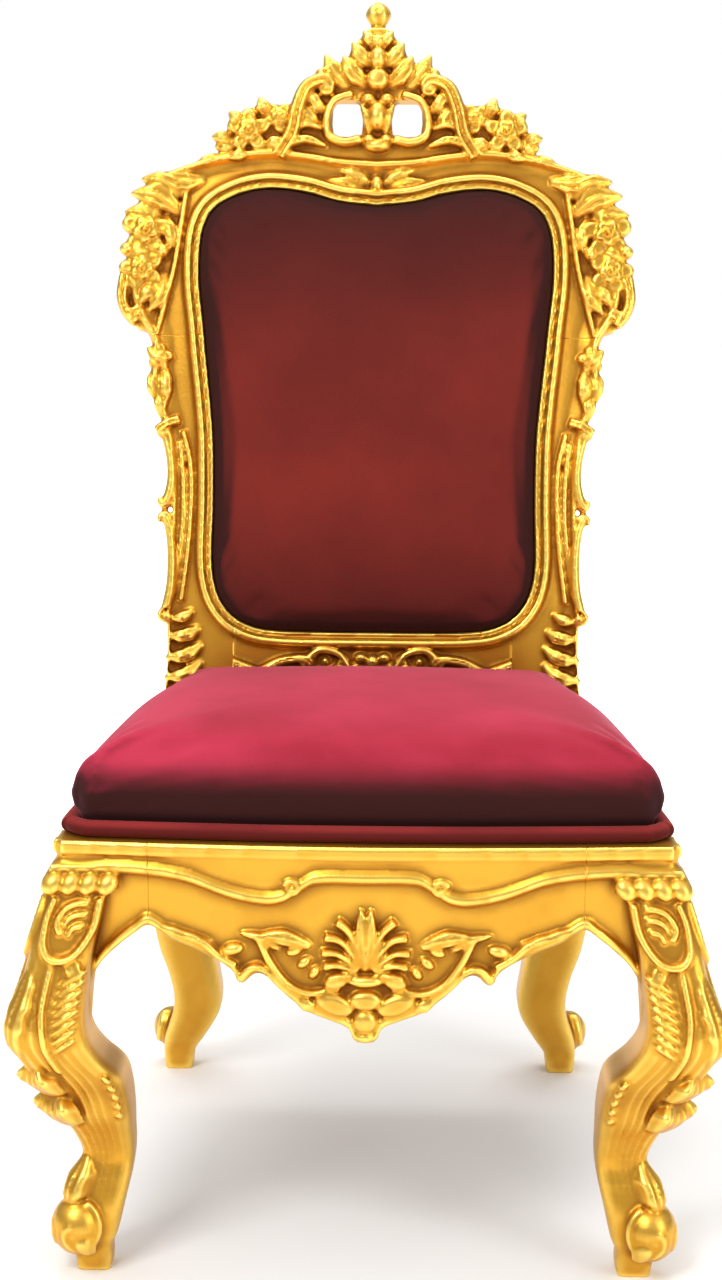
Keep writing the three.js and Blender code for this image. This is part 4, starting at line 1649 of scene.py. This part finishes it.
def relief_group() -> bpy.types.NodeTree:
    """A shader group that tells hollows from edges and adds the unevenness of a hand-laid finish.

    Returns:
        The group, with outputs Hollow and Edge as masks, Mottle as a value and Height for a bump.
    """
    tree = bpy.data.node_groups.new("carving_relief", "ShaderNodeTree")
    for name, default in (("Mottle Scale", 18.0), ("Grit Scale", 260.0)):
        socket = tree.interface.new_socket(name, in_out="INPUT", socket_type="NodeSocketFloat")
        socket.default_value = default
    for name in ("Hollow", "Edge", "Mottle", "Height"):
        tree.interface.new_socket(name, in_out="OUTPUT", socket_type="NodeSocketFloat")
    n = Nodes(tree)
    ends = n.add("NodeGroupInput"), n.add("NodeGroupOutput")
    place = n.add("ShaderNodeTexCoord")
    # Hollow and Edge are masks of the carving's shape, which the gilding uses to paint shade into the hollows
    # and a highlight on the edges.
    for name, layer, none, full in (("Hollow", "broad", 0.25, 3.0), ("Edge", "fine", -0.05, -0.6)):
        stored = n.add("ShaderNodeAttribute", attribute_name=layer)
        mask = n.add("ShaderNodeMapRange")
        n.link(stored.outputs["Fac"], mask.inputs["Value"])
        mask.inputs["From Min"].default_value = none
        mask.inputs["From Max"].default_value = full
        n.link(mask.outputs["Result"], ends[1].inputs[name])
    mottle = n.add("ShaderNodeTexNoise")
    mottle.inputs["Detail"].default_value = 5
    grit = n.add("ShaderNodeTexNoise")
    grit.inputs["Detail"].default_value = 3
    for texture, scale in ((mottle, "Mottle Scale"), (grit, "Grit Scale")):
        n.link(place.outputs["Object"], texture.inputs["Vector"])
        n.link(ends[0].outputs[scale], texture.inputs["Scale"])
    n.link(mottle.outputs["Fac"], ends[1].inputs["Mottle"])
    n.link(grit.outputs["Fac"], ends[1].inputs["Height"])
    return tree


@dataclass(frozen=True)
class Gilding:
    """Burnished gold leaf over a brown ground. The ground colour in the hollows is partly real bole and
    partly painted shade, and the burnished colour on sharp edges is partly real burnishing and partly a
    painted highlight.
    """

    # ground: the bole colour, darkened to serve as painted shade in the hollows.
    ground: Sequence[float] = (0.20, 0.066, 0.006)
    shade: Sequence[float] = (0.60, 0.285, 0.026)
    leaf: Sequence[float] = (0.70, 0.355, 0.036)
    # The burnished colour, pale enough to serve also as a painted highlight on the edges.
    burnish_and_highlight: Sequence[float] = (0.96, 0.66, 0.13)

    def material(self, relief: bpy.types.NodeTree) -> bpy.types.Material:
        """The shader.

        Args:
            relief: The group that gives the small carving.

        Returns:
            The finish.
        """
        made = bpy.data.materials.new("gilding")
        made.use_nodes = True
        n = Nodes(made.node_tree)
        shader = made.node_tree.nodes["Principled BSDF"]
        group = n.add("ShaderNodeGroup", node_tree=relief)
        body = n.ramp(group.outputs["Mottle"], ((0.25, self.shade), (0.55, self.leaf)))
        # Painted shade: the hollows are mixed towards the dark ground colour.
        painted_hollow_shade = n.add("ShaderNodeMix", data_type="RGBA")
        n.link(group.outputs["Hollow"], painted_hollow_shade.inputs["Factor"])
        n.link(body, painted_hollow_shade.inputs["A"])
        painted_hollow_shade.inputs["B"].default_value = (*self.ground, 1)
        # Painted highlight: sharp edges are mixed towards the pale burnished colour, partly real burnishing.
        painted_edge_highlight = n.add("ShaderNodeMix", data_type="RGBA")
        n.link(group.outputs["Edge"], painted_edge_highlight.inputs["Factor"])
        n.link(painted_hollow_shade.outputs["Result"], painted_edge_highlight.inputs["A"])
        painted_edge_highlight.inputs["B"].default_value = (*self.burnish_and_highlight, 1)
        n.link(painted_edge_highlight.outputs["Result"], shader.inputs["Base Color"])
        rough = n.add("ShaderNodeMapRange")
        rough.inputs["To Min"].default_value = 0.34
        rough.inputs["To Max"].default_value = 0.55
        n.link(group.outputs["Hollow"], rough.inputs["Value"])
        n.link(rough.outputs["Result"], shader.inputs["Roughness"])
        shader.inputs["Metallic"].default_value = 0.92
        bump = n.add("ShaderNodeBump")
        bump.inputs["Strength"].default_value = 0.25
        bump.inputs["Distance"].default_value = 0.0006
        n.link(group.outputs["Height"], bump.inputs["Height"])
        n.link(bump.outputs["Normal"], shader.inputs["Normal"])
        return made


@dataclass(frozen=True)
class Velvet:
    """Short-pile velvet: a random tone between its deep and pile colours, a shader sheen, and painted shade
    in the flank colour where the surface turns away from a chosen facing and away from a middle height.
    """

    name: str
    deep: Sequence[float]
    pile: Sequence[float]
    sheen: Sequence[float]
    # flank: the painted shade colour, given where the surface turns away from the chosen facing or lies away
    # from the middle height.
    flank: Sequence[float]
    # The facing that gets the full colour; surfaces turned away from it get painted shade.
    painted_light_facing: Sequence[float] = (0, 0, 1)
    turn: tuple[float, float] = (0.12, 0.95)
    # fade: middle height, clear reach and dim reach in metres; beyond the clear reach the velvet darkens into
    # painted shade.
    fade: tuple[float, float, float] = (0.0, 10.0, 11.0)
    sheen_weight: float = 0.35

    def material(self) -> bpy.types.Material:
        """The shader.

        Returns:
            The finish.
        """
        made = bpy.data.materials.new(self.name)
        made.use_nodes = True
        n = Nodes(made.node_tree)
        shader = made.node_tree.nodes["Principled BSDF"]
        place = n.add("ShaderNodeTexCoord")
        brushed = n.add("ShaderNodeTexNoise")
        brushed.inputs["Scale"].default_value = 7
        brushed.inputs["Detail"].default_value = 6
        n.link(place.outputs["Object"], brushed.inputs["Vector"])
        colour = n.ramp(brushed.outputs["Fac"], ((0.35, self.deep), (0.7, self.pile)))
        # Painted shade by facing: the colour turns to the flank colour where the normal turns away from the
        # chosen facing.
        geometry = n.add("ShaderNodeNewGeometry")
        facing = n.add("ShaderNodeVectorMath", operation="DOT_PRODUCT")
        n.link(geometry.outputs["Normal"], facing.inputs[0])
        facing.inputs[1].default_value = self.painted_light_facing
        towards = n.add("ShaderNodeMapRange", interpolation_type="SMOOTHSTEP")
        n.link(facing.outputs["Value"], towards.inputs["Value"])
        towards.inputs["From Min"].default_value = self.turn[0]
        towards.inputs["From Max"].default_value = self.turn[1]
        painted_shade_mix = n.add("ShaderNodeMix", data_type="RGBA")
        # Painted shade by height: darker towards the top and bottom, away from the middle height.
        middle, clear, dim = self.fade
        split = n.add("ShaderNodeSeparateXYZ")
        n.link(place.outputs["Object"], split.inputs[0])
        above = n.add("ShaderNodeMath", operation="SUBTRACT")
        n.link(split.outputs["Z"], above.inputs[0])
        above.inputs[1].default_value = middle
        away = n.add("ShaderNodeMath", operation="ABSOLUTE")
        n.link(above.outputs[0], away.inputs[0])
        painted_light_by_height = n.add("ShaderNodeMapRange", interpolation_type="SMOOTHSTEP")
        n.link(away.outputs[0], painted_light_by_height.inputs["Value"])
        for socket, value in (("From Min", clear), ("From Max", dim), ("To Min", 1.0), ("To Max", 0.0)):
            painted_light_by_height.inputs[socket].default_value = value
        share = n.add("ShaderNodeMath", operation="MULTIPLY")
        n.link(painted_light_by_height.outputs["Result"], share.inputs[0])
        n.link(towards.outputs["Result"], share.inputs[1])
        painted_shade_mix.inputs["A"].default_value = (*self.flank, 1)
        n.link(share.outputs[0], painted_shade_mix.inputs["Factor"])
        n.link(colour, painted_shade_mix.inputs["B"])
        n.link(painted_shade_mix.outputs["Result"], shader.inputs["Base Color"])
        fibre = n.add("ShaderNodeTexNoise")
        fibre.inputs["Scale"].default_value = 900
        fibre.inputs["Detail"].default_value = 2
        n.link(place.outputs["Object"], fibre.inputs["Vector"])
        bump = n.add("ShaderNodeBump")
        bump.inputs["Strength"].default_value = 0.35
        bump.inputs["Distance"].default_value = 0.0006
        n.link(fibre.outputs["Fac"], bump.inputs["Height"])
        n.link(bump.outputs["Normal"], shader.inputs["Normal"])
        shader.inputs["Roughness"].default_value = 0.9
        shader.inputs["Specular IOR Level"].default_value = 0.15
        shader.inputs["Sheen Weight"].default_value = self.sheen_weight
        shader.inputs["Sheen Roughness"].default_value = 0.35
        shader.inputs["Sheen Tint"].default_value = (*self.sheen, 1)
        return made


# ---- The studio ----------------------------------------------------------------------------------


@dataclass(frozen=True)
class Studio:
    """A pale floor that glows as painted light, soft lamps and the camera."""

    distance: float = 2.318
    height: float = 0.989
    pitch: float = math.radians(9.55)
    roll: float = math.radians(0.43)
    yaw: float = math.radians(0.27)
    orbit: float = math.radians(0.47)
    lens: float = 60.47

    def floor(self) -> None:
        """Lays the floor, which glows white as painted light: not at all within 0.5 m of the middle, fully
        beyond 2.4 m, and at 0.4 of that glow in the light it casts.
        """
        mesh = bpy.data.meshes.new("floor")
        size = 30.0
        mesh.from_pydata(
            [(-size, -size, 0), (size, -size, 0), (size, size, 0), (-size, size, 0)], [], [(0, 1, 2, 3)]
        )
        made = bpy.data.objects.new("floor", mesh)
        bpy.context.scene.collection.objects.link(made)
        paint = bpy.data.materials.new("floor_paint")
        paint.use_nodes = True
        shader = paint.node_tree.nodes["Principled BSDF"]
        shader.inputs["Base Color"].default_value = (0.93, 0.93, 0.93, 1)
        shader.inputs["Roughness"].default_value = 0.8
        n = Nodes(paint.node_tree)
        place = n.add("ShaderNodeTexCoord")
        reach = n.add("ShaderNodeVectorMath", operation="LENGTH")
        n.link(place.outputs["Object"], reach.inputs[0])
        far = n.add("ShaderNodeMapRange", interpolation_type="SMOOTHSTEP")
        n.link(reach.outputs["Value"], far.inputs["Value"])
        far.inputs["From Min"].default_value = 0.5
        far.inputs["From Max"].default_value = 2.4
        # Painted light: the floor's own white glow, rising with distance, seen in full by the camera and at
        # 0.4 strength in the light it casts on the throne.
        shader.inputs["Emission Color"].default_value = (1, 1, 1, 1)
        path = n.add("ShaderNodeLightPath")
        dimmed = n.add("ShaderNodeMapRange")
        n.link(path.outputs["Is Camera Ray"], dimmed.inputs["Value"])
        dimmed.inputs["To Min"].default_value = 0.4
        glow = n.add("ShaderNodeMath", operation="MULTIPLY")
        n.link(far.outputs["Result"], glow.inputs[0])
        n.link(dimmed.outputs["Result"], glow.inputs[1])
        n.link(glow.outputs[0], shader.inputs["Emission Strength"])
        mesh.materials.append(paint)

    def light(self, name: str, at: Point, size: Point, power: float, towards: Point = (0, 0, 0.6)) -> None:
        """Hangs one soft lamp.

        Args:
            name: The lamp's name.
            at: Where it hangs.
            size: Its width.
            power: Its strength in watts.
            towards: The point it faces.
        """
        lamp = bpy.data.lights.new(name, "AREA")
        lamp.shape = "RECTANGLE"
        lamp.size, lamp.size_y = size
        lamp.energy = power
        made = bpy.data.objects.new(name, lamp)
        made.location = at
        made.rotation_euler = (Vector(towards) - Vector(at)).to_track_quat("-Z", "Y").to_euler()
        bpy.context.scene.collection.objects.link(made)

    def camera(self) -> None:
        """Sets up the camera."""
        lens = bpy.data.cameras.new("camera")
        lens.sensor_fit = "VERTICAL"
        lens.sensor_height = 36
        lens.lens = self.lens
        made = bpy.data.objects.new("camera", lens)
        turn = Matrix.Rotation(self.yaw, 4, "Z") @ Matrix.Rotation(math.pi / 2 - self.pitch, 4, "X")
        stand = Matrix.Translation(
            (0, -self.distance, self.height)
        ) @ turn @ Matrix.Rotation(self.roll, 4, "Z")
        made.matrix_world = Matrix.Rotation(self.orbit, 4, "Z") @ stand
        bpy.context.scene.collection.objects.link(made)
        bpy.context.scene.camera = made

    def world(self) -> None:
        """Lights the room."""
        world = bpy.data.worlds.new("room")
        world.use_nodes = True
        n = Nodes(world.node_tree)
        back = world.node_tree.nodes["Background"]
        place = n.add("ShaderNodeTexCoord")
        split = n.add("ShaderNodeSeparateXYZ")
        n.link(place.outputs["Generated"], split.inputs[0])
        height = n.add("ShaderNodeMapRange")
        n.link(split.outputs["Z"], height.inputs["Value"])
        height.inputs["From Min"].default_value = -1
        grey = (
            (0.0, (0.34, 0.34, 0.34)), (0.5, (0.36, 0.36, 0.36)), (0.66, (0.42, 0.42, 0.42)),
            (0.9, (1, 1, 1))
        )
        n.link(n.ramp(height.outputs["Result"], grey), back.inputs["Color"])
        back.inputs["Strength"].default_value = 1.0
        seen = n.add("ShaderNodeBackground")
        seen.inputs["Color"].default_value = (1, 1, 1, 1)
        seen.inputs["Strength"].default_value = 1.0
        mix = n.add("ShaderNodeMixShader")
        path = n.add("ShaderNodeLightPath")
        n.link(path.outputs["Is Camera Ray"], mix.inputs["Fac"])
        n.link(back.outputs[0], mix.inputs[1])
        n.link(seen.outputs[0], mix.inputs[2])
        n.link(mix.outputs[0], world.node_tree.nodes["World Output"].inputs["Surface"])
        bpy.context.scene.world = world

    def build(self) -> None:
        """Sets up the whole studio."""
        self.camera()
        self.floor()
        self.world()
        self.light("key", (-1.6, -2.6, 3.2), (1.6, 1.6), 90)
        self.light("fill", (2.6, -2.2, 1.6), (1.4, 2.2), 35)
        self.light("top", (0, 0.4, 3.4), (2.2, 1.4), 50)
        bpy.context.scene.view_settings.view_transform = "Standard"


def main() -> None:
    """Builds the throne and its studio."""
    logging.basicConfig(level=logging.INFO, format="%(name)s %(message)s")
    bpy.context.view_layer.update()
    Studio().build()
    seat_frame = SeatFrame()
    back_frame = BackFrame()
    relief = relief_group()
    gilt = Gilding().material(relief)
    # The fourth colour of each velvet is painted shade for surfaces turned away from the facing; the back
    # velvet also darkens as painted shade towards its top and bottom.
    crimson = Velvet(
        "seat_velvet", (0.29, 0.014, 0.030), (0.43, 0.027, 0.060), (1.0, 0.4, 0.5), (0.028, 0.005, 0.004)
    ).material()
    recline = back_frame.recline
    russet = Velvet(
        "back_velvet", (0.125, 0.013, 0.009), (0.175, 0.018, 0.012), (0.6, 0.12, 0.08), (0.030, 0.006, 0.005),
        (0, -math.cos(recline), math.sin(recline)), (0.86, 0.999), (0.80, 0.02, 0.36), 0.12,
    ).material()
    welt = Velvet(
        "roll_velvet", (0.15, 0.012, 0.012), (0.24, 0.020, 0.018), (0.8, 0.3, 0.25), (0.09, 0.008, 0.007)
    ).material()
    lining = Velvet(
        "lining", (0.09, 0.008, 0.010), (0.12, 0.010, 0.012), (0.6, 0.2, 0.2), (0.06, 0.006, 0.006)
    ).material()

    back_frame.build(gilt)
    seat_frame.build(gilt)
    BackLegs().build(seat_frame, gilt)
    RearRail().build(gilt)
    seat = Seat()
    seat.cushion(seat_frame, crimson)
    seat.piping(seat_frame, welt)
    upholstery = BackUpholstery()
    upholstery.pad(back_frame, russet)
    upholstery.panel(back_frame, lining)


if __name__ == "__main__":
    main()
